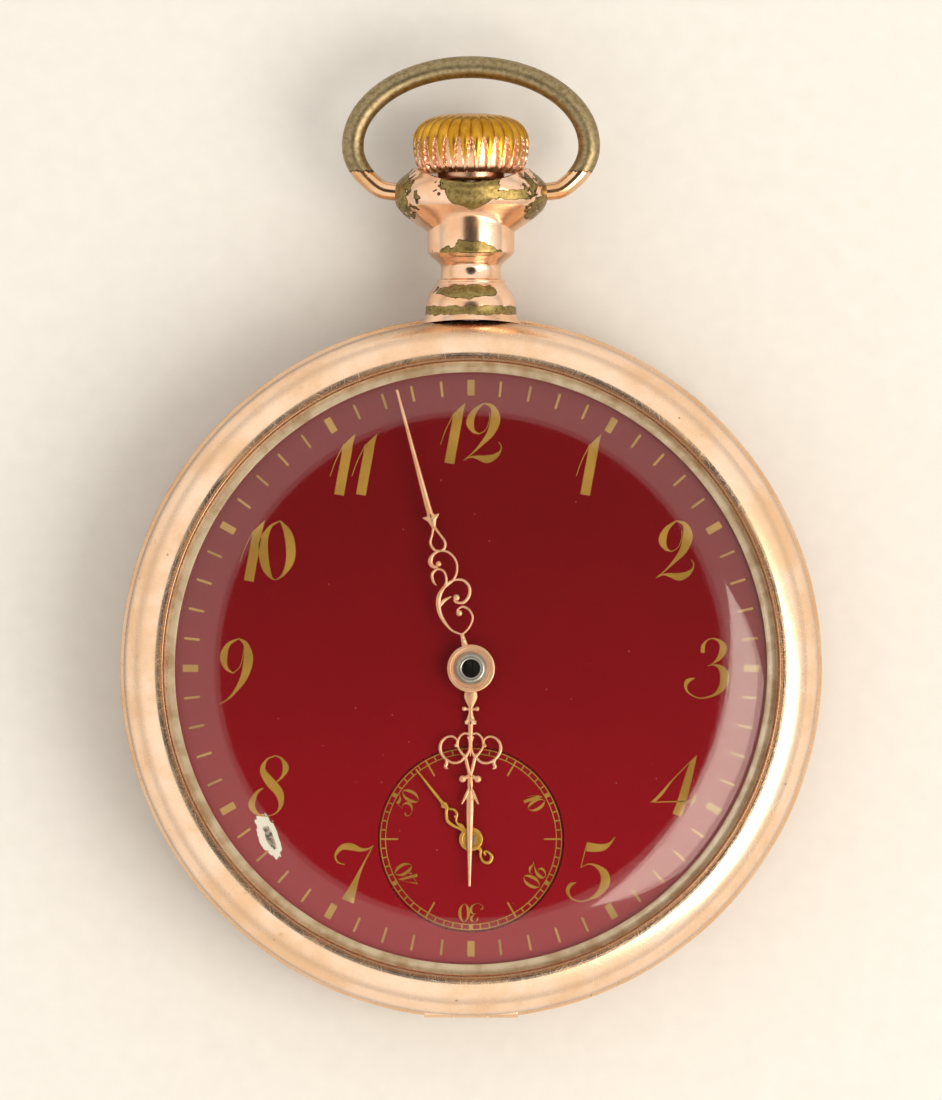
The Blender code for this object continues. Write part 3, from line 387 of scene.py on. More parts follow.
# %% [markdown]
# ## The case
# Three turned rings and a turned lid: the back cover carries a flat to lie on, the middle carries the
# bead that hides the seam, and the bezel rolls over into a broad polished band that frames the glass.
# Each is its profile turned round Z. Where the hinge is cut in, the points inside the cut are pushed to
# its wall, so that the surface stays one closed sheet.

# %% Hinge measures
HINGE_Y, HINGE_Z = (float(sum(c[i] for c in corners("back_hinge_pin"))) / 2 for i in (1, 2))
LID_HINGE_Y, LID_HINGE_Z = (float(sum(c[i] for c in corners("cuvette_hinge_pin"))) / 2 for i in (1, 2))
KNUCKLE_R, KNUCKLE_HALF, HINGE_HALF = 0.45, 1.2, 3.4


def pushed_in(shell, half, wall_y, low, high):
    """Cuts a notch at six o'clock: points with |x| under half, between two levels and beyond the wall
    move along Y onto it."""
    points, faces = shell
    inside = (np.abs(points[:, 0]) < half) & (points[:, 1] < wall_y)
    inside &= (points[:, 2] > low) & (points[:, 2] < high)
    points = points.copy()
    points[inside, 1] = wall_y
    return points, faces


def bar(x0, x1, r, y, z, steps=32):
    """A short round bar along X, with its edges rounded."""
    ends = rounded([(0, x0), (r, x0), (r, x1), (0, x1)], blend=0.08)
    return lathe(ends, steps, centre=(0, y, z), along="X")


# %% Back cover
def back_profile():
    """The dish of the back: a hollow middle, the flat ring it rests on, a long swell up to the rim, the
    rim's edge, and the inside, one wall in."""
    flat, rim, wall = 14.0, BEAD_R - 0.1, 0.55
    swell = smooth([(flat, 0.0), (17.0, 0.13), (19.5, 0.44), (21.6, 0.93), (23.3, 1.56), (24.6, 2.35),
                    (rim - 0.08, 2.95), (rim, 3.25)], per=6)
    edge = rounded([(rim, 3.3), (rim, BACK_TOP), (rim - wall, BACK_TOP), (rim - wall, 3.1)], blend=0.06)
    inside = smooth([(rim - wall, 3.1), (24.0, 2.65), (22.0, 1.7), (18.8, 0.9), (flat, wall)], per=4)
    hollow = rounded([(0, 0.12), (flat - 1.3, 0.12), (flat - 1.0, 0.0), (flat - 0.2, 0.0)], blend=0.15)
    return np.vstack([hollow, swell, edge, inside, [(0, wall)]])


back = pushed_in(lathe(back_profile(), steps=720), HINGE_HALF + 0.3, -24.4, 2.6, 6.0)
web = carry([(-KNUCKLE_HALF, -24.7, 3.0), (KNUCKLE_HALF, -24.7, 3.0)], 1.0,
            [(-0.3, -0.55), (0.3, -0.55), (0.3, 0.6), (-0.3, 0.6)])
piece("back_cover_dish", [back, web, bar(-KNUCKLE_HALF, KNUCKLE_HALF, KNUCKLE_R, HINGE_Y, HINGE_Z)],
      "back", rose_gold, ["back_cover"])


# %% Case middle
def middle_profile():
    """The band: a bead at the seam, a shallow hollow above it, a swelling side and the seat of the bezel."""
    low, bead = level("case_middle", top=False), BEAD_R
    side = smooth([(bead - 0.12, low), (bead - 0.02, low + 0.1), (bead, low + 0.28), (bead - 0.06, low + 0.5),
                   (bead - 0.3, low + 0.72), (bead - 0.46, low + 0.95), (bead - 0.44, low + 1.5),
                   (bead - 0.4, 5.9), (bead - 0.42, 6.9), (bead - 0.5, 7.45)], per=5)
    seat = rounded([(bead - 0.55, 7.5), (23.2, 7.5), (23.0, 8.6), (22.2, 8.6), (22.0, 8.4), (22.0, 7.3),
                    (22.7, 7.3), (22.7, low), (bead - 0.3, low)], blend=0.06)
    return np.vstack([side, seat])


knuckle_gap = KNUCKLE_HALF + 0.06
middle = lathe(middle_profile(), steps=720, ring=True)
middle = pushed_in(middle, knuckle_gap, -24.3, 0.0, level("case_middle", top=False) + 0.9)
knuckles = [bar(*sorted((side * knuckle_gap, side * HINGE_HALF)), KNUCKLE_R, HINGE_Y, HINGE_Z)
            for side in (-1, 1)]
lugs = [bar(*sorted((side * 1.0, side * 2.0)), 0.25, LID_HINGE_Y, LID_HINGE_Z) for side in (-1, 1)]
piece("case_band", [middle, *knuckles, *lugs], "case", rose_gold, ["case_middle"])


# %% Bezel
def flat_lacquer(name, colour, deep):
    """A matt pale colour over metal, a painted reflection: it scatters light, so it stays pale where polish
    would turn dark.
    """
    material, tree, shader, place = start(name)
    clouds = add(tree, "TexNoise", {"Vector": place, "Scale": per_mm(1.2), "Detail": 4.0})
    drift = add(tree, "MapRange", {0: clouds, 1: 0.35, 2: 0.7}, **EASED)
    feed(tree, shader, {"Base Color": add(tree, "Mix", {0: drift, 6: colour, 7: deep}, **COLOURS),
                        "Metallic": 0.3, "Roughness": 0.5})
    return material


def bezel_profile():
    """The bezel: from its foot up a round shoulder to the broad top, over a fine groove, and down to the
    seat of the glass and the sloping ring under it."""
    out, top = BEZEL_R, BEZEL_TOP
    foot = level("bezel", top=False)
    shoulder = smooth([(out - 0.12, foot), (out, foot + 0.5), (out - 0.06, top - 2.45),
                       (out - 0.24, top - 1.75), (out - 0.62, top - 1.1), (out - 1.15, top - 0.58),
                       (out - 1.7, top - 0.24), (out - 2.2, top - 0.05), (out - 2.5, top)], per=7)
    groove = smooth([(out - 2.6, top - 0.01), (out - 2.68, top - 0.1), (out - 2.76, top - 0.02),
                     (out - 2.84, top - 0.03), (out - 2.93, top - 0.14)], per=3)
    inside = rounded([(out - 2.96, top - 0.2), (out - 2.97, top - 0.85), (out - 3.72, top - 0.86),
                      (out - 3.72, 9.9), (22.6, 9.9), (23.3, 9.35), (23.3, foot)], blend=0.05)
    return np.vstack([shoulder, groove, inside])


def bezel_patina(points):
    """Brown in the fine groove, and painted shade low on the outer shoulder, the darker the lower it lies."""
    r = np.hypot(points[:, 0], points[:, 1])
    groove = np.exp(-((r - (BEZEL_R - 2.8)) / 0.13) ** 2)
    # Painted shade: the outer shoulder turns browner the lower it lies.
    painted_low_shade = np.clip((BEZEL_TOP - 1.7 - points[:, 2]) / 1.2, 0, 1) * (r > BEZEL_R - 1)
    return np.maximum(0.75 * groove, 0.8 * painted_low_shade)


# Its tone colour is the brown of the groove and of the painted shade on the low shoulder.
bezel_gold = worn_metal("bezel_gold", "#FADBC0", "#EFC8A2", "#A87848", rough=(0.18, 0.3), tone="#8E6238")
piece("bezel_ring", [lathe(bezel_profile(), steps=512, ring=True)], "bezel_group", bezel_gold,
      ["bezel"], values=bezel_patina)

# The glass sits on a thin tension ring, coloured matt pale cream as a painted reflection of the polished seat,
# which shows as a light line round the dial.
painted_reflection_ring = flat_lacquer("pale_painted_reflection", "#D8C6AE", "#B89A78")
shelf = BEZEL_TOP - 0.86
seat_in, seat_out = BEZEL_R - 3.72, BEZEL_R - 2.98
seat_ring = rounded([(seat_in, shelf - 0.1), (seat_in, shelf + 0.02), (seat_out, shelf + 0.03),
                     (seat_out, shelf - 0.1)], blend=0.02, closed=True)
piece("seat_ring", [lathe(seat_ring, steps=384, ring=True)], "bezel_group", painted_reflection_ring)


# %% Dust cover
def lid_profile():
    """The thin inner lid: a flat dish with a turned-up flange."""
    top, low = level("cuvette"), 1.95
    return rounded([(0, low), (20.6, low), (22.0, low + 0.3), (22.5, top - 0.32), (23.4, top - 0.32),
                    (23.4, top - 0.02), (22.2, top - 0.02), (21.8, low + 0.6), (20.6, low + 0.35),
                    (0, low + 0.35)], blend=0.12)


lid = pushed_in(lathe(lid_profile(), steps=512), 2.06, LID_HINGE_Y + 0.3, 0.0, 6.0)
lid_web = carry([(-0.92, LID_HINGE_Y + 0.3, LID_HINGE_Z), (0.92, LID_HINGE_Y + 0.3, LID_HINGE_Z)], 1.0,
                [(-0.3, -0.14), (0.3, -0.14), (0.3, 0.12), (-0.3, 0.12)])
piece("dust_cover_lid", [lid, lid_web, bar(-0.92, 0.92, 0.25, LID_HINGE_Y, LID_HINGE_Z)], "dust_cover",
      yellow_gold, ["cuvette"])


# %% [markdown]
# ## The pendant
# The pendant is the neck that carries the winding crown and the bow. Its foot flares onto the case, a bead
# and a waist follow, then a plain barrel that spreads into a head as wide as an arm each way.
# Every cross-section is an ellipse, so the surface is a function of height and angle. The rim dips at
# front and back, like a saddle, because its height depends on the angle too.

# %% Pendant surface
PENDANT_Z = float(corners("bow")[0][2] + corners("bow")[1][2]) / 2
CASE_SIDE_R = 25.07
NECK = points("""25.45 3.6, 25.62 3.45, 25.8 3.3, 26.2 3.26, 26.55 3.2, 27 3, 27.45 2.66, 27.75 2.44,
              27.85 2.48, 27.98 2.42, 28.08 2.24, 28.5 2.15, 28.95 2.17, 29.3 2.42, 29.62 2.82,
              29.85 3.02, 29.95 3.1, 30.2 3.12, 31 3.13, 31.55 3.13""")
HEAD = points("""0 3.13 3.13, 0.05 3.45 3.16, 0.12 3.95 3.26, 0.2 4.45 3.42, 0.3 4.98 3.64, 0.4 5.34 3.86,
              0.5 5.5 4.02, 0.62 5.54 4.12, 0.74 5.44 4.18, 0.86 4.98 4.24, 0.95 4.45 4.24, 1 4.22 4.2""")
RIM_LOW, RIM_HIGH, RECESS_Y = 34.9, 36.02, 34.6


def pendant_shell(steps=360):
    """Height and two half widths for each row, then an ellipse for each: x is a cos, z is b sin. The barrel
    rises to an arch before and behind, by sin squared, and the head's rim to two peaks over the arms, by
    cos squared. The foot's rows are let down onto the round of the case: y is the root of R squared less
    x squared."""
    turns = np.linspace(0, 2 * np.pi, steps, endpoint=False)[None, :]
    neck, head = smooth(NECK, per=4), smooth(HEAD, per=8)
    base = neck[-1, 0] - 0.1 + 1.05 * np.sin(turns) ** 2
    rim = RIM_LOW + (RIM_HIGH - RIM_LOW) * np.cos(turns) ** 2
    rows = [(np.full((1, 1), CASE_SIDE_R), 0.0, 0.0)]
    barrel = 30.2
    rows += [(y if y < barrel else barrel + (y - barrel) / (neck[-1, 0] - barrel) * (base - barrel), r, r)
             for y, r in neck]
    rows += [(base + (rim - base) * f, a, b) for f, a, b in head[1:]]
    rows += [(rim + 0.03, 4.02, 4.02), (rim - 0.04, 3.8, 3.82)]
    rows += [(rim + (RECESS_Y - rim) * f, r, r) for f, r in ((0.4, 3.6), (0.8, 3.4), (0.97, 3.25), (1, 3.0))]
    rows += [(RECESS_Y + 0 * turns, 0.0, 0.0)]
    shell = np.stack([np.stack([a * np.cos(turns)[0], np.broadcast_to(y, (1, steps))[0],
                                PENDANT_Z + b * np.sin(turns)[0]], axis=1) for y, a, b in rows])
    x, y, z = shell[..., 0], shell[..., 1], shell[..., 2]
    side = CASE_SIDE_R + (BEAD_R - 25.0) * np.clip((4.9 - z) / 0.3, 0, 1)
    seat = np.sqrt(side ** 2 - x ** 2)
    shell[..., 1] = np.where(y < 26.2, seat + (y - NECK[0][0]) * (26.2 - seat) / (26.2 - NECK[0][0]), y)
    shell[0, :, 1] = CASE_SIDE_R
    return closed_shell(shell)


def uneven(points, size, seed):
    """Smooth noise between -1 and 1: the mean of eight sine waves that run in scattered directions."""
    chance = np.random.default_rng(seed)
    ways = chance.normal(size=(8, 3))
    ways /= np.linalg.norm(ways, axis=1, keepdims=True)
    lengths = size * chance.uniform(0.7, 1.5, 8)
    waves = np.sin(2 * np.pi * (points @ ways.T) / lengths + chance.uniform(0, 6.3, 8))
    return waves.mean(axis=1) * 2


def pendant_wear(points):
    """Where the gold sheet is gone: 1 inside a patch, 0 outside and one half on its edge. The patches are a
    wedge under the crown with specks to its right, both arm ends, a low triangle on the barrel, and an
    oval and a band at the foot, all with uneven edges."""
    x, y = np.abs(points[:, 0]), points[:, 1]
    wedge = x / (2.2 * np.clip((y - 32.85) / 1.2, 0.04, 1)) + np.clip(33.0 - y, 0, None) * 9
    specks = np.hypot((points[:, 0] - 3.1) / 1.15, (y - 34.05) / 0.42) + 0.12
    arms = 4.3 / np.maximum(x, 0.1) + np.clip(32.4 - y, 0, None)
    triangle = x / 2.5 + np.abs(y - 29.95) / np.where(y > 29.95, 1.0, 0.12)
    oval = np.hypot((points[:, 0] + 0.3) / 2.1, (y - 27.1) / 0.5)
    band = np.abs(y - 25.75) / 0.32
    depth = np.min([wedge, specks, arms, triangle, oval, band], axis=0)
    depth += 0.16 * uneven(points, 1.3, 3) + 0.12 * uneven(points, 0.45, 4)
    return np.clip(0.5 + 1.3 * (1 - depth), 0, 1)


piece("pendant_neck", [pendant_shell()], "case", pendant_gold, ["pendant"],
      values=pendant_wear)


# %% [markdown]
# ## The bow
# The bow is a stout wire bent to an oval arch. It thins a little towards its ends, where short bright
# collars meet the arms and a pin goes in. The line is an ellipse above its widest place and a longer
# ellipse below it.

# %% Bow
WIRE_R = 0.8
BOW_HALF = float(corners("bow")[1][0]) - WIRE_R
BOW_TOP = float(corners("bow")[1][1]) - WIRE_R
BOW_WIDE_Y, BOW_END_X, PIVOT_Y = 37.65, 6.2, 34.35


def tube(path, radii, sides):
    """A flat path swept by a circle of its own radius at each point: the path plus the radius times cos
    sideways and sin upwards. Both ends close on the path's own end points."""
    ahead = np.gradient(path, axis=0)
    across = np.cross(ahead, UP) / np.linalg.norm(ahead, axis=1, keepdims=True)
    turn = np.linspace(0, 2 * np.pi, sides, endpoint=False)[None, :, None]
    around = across[:, None, :] * np.cos(turn) + UP * np.sin(turn)
    body = path[:, None, :] + radii[:, None, None] * around
    return closed_shell(np.concatenate([np.repeat(path[None, :1], sides, axis=1), body,
                                        np.repeat(path[None, -1:], sides, axis=1)]))


def bow_line(count=160):
    """The wire's middle: x is the half width times cos, and y goes by sin, times the rise above the widest
    place and times the fall below it. Each end turns in to lie along its pivot."""
    first = -math.acos(BOW_END_X / BOW_HALF)
    turn = np.linspace(first, math.pi - first, count)
    fall = (BOW_WIDE_Y - PIVOT_Y) / -math.sin(first)
    rise = np.where(np.sin(turn) > 0, BOW_TOP - BOW_WIDE_Y, fall)
    line = np.stack([BOW_HALF * np.cos(turn), BOW_WIDE_Y + rise * np.sin(turn)], axis=1)
    line = line[line[:, 1] > PIVOT_Y + 0.9]
    end = [(6.85, PIVOT_Y + 0.42), (6.25, PIVOT_Y + 0.1), (5.35, PIVOT_Y)]
    line = smooth([*end[::-1], *line, *[(-x, y) for x, y in end]], per=2)
    return np.column_stack([line, np.full(len(line), PENDANT_Z)])


def bow_wear(points):
    """Worn through everywhere but at the two ends."""
    return np.clip((points[:, 1] - 35.2) / 1.2, 0, 1)


line = bow_line()
along = np.linspace(-1, 1, len(line))
thickness = 0.80 - 0.16 * np.abs(along) ** 8
wire = tube(line, thickness, 28)
piece("bow_wire", [wire], "bow_loop", bow_gold, ["bow"], values=bow_wear)


# %% [markdown]
# ## The winding crown
# An onion crown: twenty-eight flutes run over its swell. In the upper half they are full, rounded lobes of
# yellow gold that touch. Below the middle a pointed arch opens between every two lobes, with a fine raised
# edge, and widens to the foot. All of it is one radius, a function of the height and of the place in a flute.

# %% Crown
CROWN_LOW, CROWN_TOP = 35.62, float(corners("crown")[1][1])
CROWN_R = radius("crown")
FLUTES = 28
ARCH_TOP = 0.60
crown_gold = worn_metal("crown_gold", "#D9A53A", "#B98424", "#6A4A1C", rough=(0.22, 0.34), cloud_mm=2.0,
                        tone="#EBC0A2", pits=False)


def crown_pattern(turns, along_height):
    """Three numbers for each point: the lobe's swell, how far inside an arch it is, and how near the arch's
    raised edge. place is 0 on the line between two lobes and 0.5 in the middle of one."""
    place = np.abs((FLUTES * turns / (2 * np.pi)) % 1 - 0.5)
    place = 0.5 - place
    arch = 0.36 * np.sqrt(np.clip((ARCH_TOP - along_height) / ARCH_TOP, 0, 1))
    beyond = place - arch
    swell = 1 - (1 - 2 * place) ** 2
    inside = 1 - np.clip((beyond + 0.035) / 0.06, 0, 1)
    inside = np.where(arch > 0, inside * inside * (3 - 2 * inside), 0)
    edge = np.exp(-((beyond - 0.02) / 0.045) ** 2) * np.clip((ARCH_TOP + 0.05 - along_height) / 0.1, 0, 1)
    return swell, inside, edge


def crown_shell(steps=28 * 18):
    """The onion profile as a smooth line of (radius, height), and at each point the flutes pushed out or in
    along the radius, less near the top where they run together."""
    r, low, top = CROWN_R - 0.02, CROWN_LOW, CROWN_TOP
    tall = top - low
    line = smooth([(r * 0.82, low + 0.02 * tall), (r * 0.9, low + 0.09 * tall), (r * 0.945, low + 0.2 * tall),
                   (r * 0.985, low + 0.36 * tall), (r, low + 0.52 * tall), (r * 0.975, low + 0.66 * tall),
                   (r * 0.9, low + 0.79 * tall), (r * 0.77, low + 0.89 * tall), (r * 0.57, low + 0.96 * tall),
                   (r * 0.33, low + 0.99 * tall), (r * 0.12, top)], per=7)
    turns = np.linspace(0, 2 * np.pi, steps, endpoint=False)[None, :]
    height = ((line[:, 1] - low) / tall)[:, None]
    swell, inside, edge = crown_pattern(turns, height)
    strength = np.clip(line[:, :1] / (0.8 * r), 0, 1) ** 1.5
    across = line[:, :1] - strength * (0.24 * (1 - swell) * (1 - inside) + 0.34 * inside - 0.07 * edge)
    rows = np.stack([across * np.cos(turns), np.broadcast_to(line[:, 1:2], across.shape),
                     PENDANT_Z + across * np.sin(turns)], axis=2)
    middle = [np.broadcast_to(np.array([0, y, PENDANT_Z]), (1, steps, 3)) for y in (low + 0.1, top)]
    return closed_shell(np.concatenate([middle[0], rows, middle[1]], axis=0))


def crown_tone(points):
    """1 where the metal is the paler rose: in the arches, on their edges and towards the foot."""
    turns = np.arctan2(points[:, 2] - PENDANT_Z, points[:, 0])
    height = (points[:, 1] - CROWN_LOW) / (CROWN_TOP - CROWN_LOW)
    _, inside, edge = crown_pattern(turns, height)
    return np.clip(inside * 0.8 + edge + np.clip((0.3 - height) / 0.2, 0, 1), 0, 1)


collar_low = float(corners("crown")[0][1])
collar = rounded([(0, collar_low), (2.2, collar_low), (2.4, collar_low + 0.15), (2.4, CROWN_LOW + 0.3),
                  (0, CROWN_LOW + 0.3)], blend=0.1)
piece("winding_crown", [crown_shell(), lathe(collar, 96, centre=(0, 0, PENDANT_Z), along="Y")], "stem_group",
      crown_gold, ["crown"], sharp=50, values=crown_tone)


# %% [markdown]
# ## The glass
# The crystal is a domed watch glass: nearly flat in the middle, rolling over ever faster to its rim.
# It lets light straight through and mirrors a little of the room: 4 to 5 parts in a hundred face on, and
# more with the fifth power of one less the cosine of the angle. So a soft pale ring of the studio shows where
# the dome turns down, and the middle stays clear.

# %% Glass
def clear_glass():
    """Glass as a mix of a clear sheet and a mirror, with hairlines too fine to feel."""
    material, tree, shader, place = start("watch_glass")
    marks = hairlines(tree, place, 0.03, 6.0, (0.4, 1.9))
    worn = add(tree, "MapRange", {0: marks, 3: 0.015, 4: 0.12}, **EASED)
    bump = add(tree, "Bump", {"Height": marks, "Strength": 0.12, "Distance": 0.002 * MM}, invert=True)
    mirror = add(tree, "BsdfGlossy", {"Roughness": worn, "Normal": bump}, distribution="GGX")
    clear = add(tree, "BsdfTransparent", {"Color": "#FBFBF8"})
    turned_away = add(tree, "LayerWeight", {"Blend": 0.5}).outputs["Facing"]
    steep = add(tree, "Math", {0: turned_away, 1: 5.0}, operation="POWER")
    share = add(tree, "Math", {0: steep, 1: 0.96, 2: 0.045}, **TIMES_PLUS)
    output = next(node for node in tree.nodes if node.bl_idname == "ShaderNodeOutputMaterial")
    feed(tree, output, {"Surface": add(tree, "MixShader", {0: share, 1: clear, 2: mirror})})
    tree.nodes.remove(shader)
    return material


glass = clear_glass()


def crystal_profile():
    """The dome's outside, its thin rim, and its inside 0.75 mm below."""
    top, out = CRYSTAL_TOP, CRYSTAL_R
    outside = smooth([(0, top), (6.0, top - 0.07), (11.0, top - 0.24), (14.5, top - 0.44),
                      (17.0, top - 0.70), (18.8, top - 1.0), (20.2, top - 1.37), (21.1, top - 1.78),
                      (21.7, top - 2.3), (out, top - 2.9)], per=8)
    rim = [(out, top - 3.15), (out - 0.03, top - 3.19), (out - 0.55, top - 3.19), (out - 0.6, top - 3.15)]
    inside = smooth([(out - 0.62, top - 2.8), (21.0, top - 2.5), (20.4, top - 2.1), (19.2, top - 1.72),
                     (17.4, top - 1.42), (14.5, top - 1.15), (10.0, top - 0.95), (5.0, top - 0.8),
                     (0, top - 0.75)], per=5)
    return np.vstack([outside, rim, inside])


piece("watch_crystal", [lathe(crystal_profile(), steps=384)], "bezel_group", glass,
      ["crystal"])


# %% [markdown]
# ## The dial
# Red translucent enamel fired over metal: deep and glassy, with dust and tiny bubbles in it. Painted light
# makes it darker towards twelve and brighter towards six. The colour comes from the enamel's base, and a clear
# coat gives the glaze.
# Near eight a flake has broken away and shows the white ground and the copper under it.

# %% Enamel
def flake(tree, place, at, size, turn, grain):
    """How far a point is from a flake's middle, as a share of its radius there, with a torn outline: the
    place is moved, turned and scaled so that the flake is a unit circle, and noise is added."""
    moved = add(tree, "Mapping", {"Vector": place, "Location": [at[0] * MM, at[1] * MM, 0],
                                  "Rotation": (0, 0, turn), "Scale": [size[0] * MM, size[1] * MM, 1]},
                vector_type="TEXTURE")
    split = add(tree, "SeparateXYZ", {0: moved})
    flat_place = add(tree, "CombineXYZ", {0: split.outputs[0], 1: split.outputs[1]})
    away = add(tree, "VectorMath", {0: flat_place}, operation="LENGTH").outputs["Value"]
    torn = add(tree, "TexNoise", {"Vector": flat_place, "Scale": grain, "Detail": 3.0, "Roughness": 0.6})
    return add(tree, "Math", {0: torn, 1: 0.9, 2: away}, **TIMES_PLUS)


def red_enamel(name, upper, lower, damaged=False):
    """Glazed enamel with faint clouds and pale dust. Its colour goes from upper to lower along Y: a painted
    light gradient, darker towards twelve and brighter towards six.
    """
    material, tree, shader, place = start(name)
    split = add(tree, "SeparateXYZ", {0: place})
    clouds = add(tree, "TexNoise", {"Vector": place, "Scale": per_mm(9.0), "Detail": 3.0})
    # Painted light: the enamel is darker towards twelve and brighter towards six.
    drift = add(tree, "Math", {0: clouds, 1: 8 * MM, 2: split.outputs[1]}, **TIMES_PLUS)
    painted_light_to_six = add(tree, "MapRange", {0: drift, 1: 18 * MM, 2: -16 * MM}, **EASED)
    colour = add(tree, "Mix", {0: painted_light_to_six, 6: upper, 7: lower}, **COLOURS)
    dust = add(tree, "TexVoronoi", {"Vector": place, "Scale": per_mm(1.5)})
    specks = add(tree, "MapRange", {0: dust, 1: 0.02, 2: 0.045, 3: 0.5, 4: 0.0}, **EASED)
    colour = add(tree, "Mix", {0: specks, 6: colour, 7: "#C98A80"}, **COLOURS)
    height = add(tree, "TexNoise", {"Vector": place, "Scale": per_mm(1.2), "Detail": 3.0})
    if damaged:
        outline = flake(tree, place, (-14.55, -12.0), (0.8, 1.85), math.radians(24), 1.6)
        white = add(tree, "MapRange", {0: outline, 1: 1.32, 2: 1.36, 3: 1.0, 4: 0.0}, **EASED)
        pit = flake(tree, place, (-14.45, -12.15), (0.5, 1.5), math.radians(24), 2.6)
        copper = add(tree, "MapRange", {0: pit, 1: 0.98, 2: 1.06, 3: 1.0, 4: 0.0}, **EASED)
        tone = add(tree, "TexNoise", {"Vector": place, "Scale": per_mm(0.35), "Detail": 4.0})
        tone = add(tree, "MapRange", {0: tone, 1: 0.4, 2: 0.6}, **EASED)
        bare = add(tree, "Mix", {0: tone, 6: "#4A3B30", 7: "#A8978A"}, **COLOURS)
        chip = add(tree, "Mix", {0: copper, 6: "#E9E6E0", 7: bare}, **COLOURS)
        colour = add(tree, "Mix", {0: white, 6: colour, 7: chip}, **COLOURS)
        height = add(tree, "Math", {0: white, 1: -2.0, 2: height}, **TIMES_PLUS)
    bump = add(tree, "Bump", {"Height": height, "Strength": 0.25, "Distance": 0.01 * MM})
    feed(tree, shader, {"Base Color": colour, "Normal": bump, "Roughness": 0.22, "IOR": 1.5})
    return material


# Both enamels carry the painted light gradient: darker towards twelve, brighter towards six.
dial_enamel = red_enamel("dial_enamel", "#74040E", "#93091A", damaged=True)
seconds_enamel = red_enamel("seconds_enamel", "#860A18", "#920C1B")

# %% Dial plates
HOLE_R = 1.15


def plate_with_window(out, hole, window_at, window_r, top, low):
    """A dial plate: a flat curve of three circles, the rim and two holes, is filled and raised to the
    plate's thickness, then made a mesh."""
    flat = bpy.data.curves.new("plate_outline", "CURVE")
    flat.dimensions, flat.fill_mode = "2D", "BOTH"
    flat.extrude = (top - low) / 2 * MM
    for (x, y), r, steps in (((0, 0), out, 512), ((0, 0), hole, 96), (window_at, window_r, 288)):
        turn = np.linspace(0, 2 * np.pi, steps, endpoint=False)
        circle = flat.splines.new("POLY")
        circle.points.add(steps - 1)
        around = [(x + r * np.cos(turn)) * MM, (y + r * np.sin(turn)) * MM, 0 * turn, 0 * turn + 1]
        circle.points.foreach_set("co", np.column_stack(around).ravel())
        circle.use_cyclic_u = True
    drawn = bpy.data.objects.new("plate_outline", flat)
    mesh = bpy.data.meshes.new_from_object(drawn)
    mesh.transform(Matrix.Translation((0, 0, (top + low) / 2 * MM)))
    bpy.data.objects.remove(drawn)
    return mesh


window = (0.0, SECONDS_Y)
window_r = SECONDS_R + 0.06
piece("dial_plate", plate_with_window(DIAL_R, HOLE_R, window, window_r, DIAL_TOP, DIAL_TOP - 0.5), "case",
      dial_enamel, ["dial"], sharp=20)
sunk = [(0.42, SECONDS_DIAL_TOP - 0.25), (0.42, SECONDS_DIAL_TOP), (SECONDS_R, SECONDS_DIAL_TOP),
        (SECONDS_R, SECONDS_DIAL_TOP - 0.25)]
piece("seconds_plate", [lathe(sunk, 192, centre=(*window, 0), ring=True)], "case",
      seconds_enamel, ["seconds_dial"], sharp=20)


# %% [markdown]
# ## Marks and numerals
# The marks are gilt paint, printed and fired. A minute mark is a short flat bar, wider at each hour.
# The numerals are pen letters, upright with a slant: a stroke is a smooth line whose half width swells
# and thins, so each is given as points of (across, up, half width), in hundredths of the numeral's height.

# %% Gilt paint and strokes
def gilt_paint():
    """Fired gilt: a matt metal powder in a binder, so it is half a metal, with specks and thin places."""
    material, tree, shader, place = start("gilt_paint")
    grain = add(tree, "TexNoise", {"Vector": place, "Scale": per_mm(0.18), "Detail": 3.0})
    clouds = add(tree, "TexNoise", {"Vector": place, "Scale": per_mm(3.0), "Detail": 2.0})
    drift = add(tree, "MapRange", {0: clouds, 1: 0.35, 2: 0.65}, **EASED)
    thin = add(tree, "MapRange", {0: grain, 1: 0.62, 2: 0.75, 4: 0.6}, **EASED)
    colour = add(tree, "Mix", {0: drift, 6: "#B98E3C", 7: "#A27A2E"}, **COLOURS)
    colour = add(tree, "Mix", {0: thin, 6: colour, 7: "#7A5318"}, **COLOURS)
    bump = add(tree, "Bump", {"Height": grain, "Strength": 0.3, "Distance": 0.008 * MM})
    feed(tree, shader, {"Base Color": colour, "Normal": bump, "Metallic": 0.25, "Roughness": 0.45})
    return material


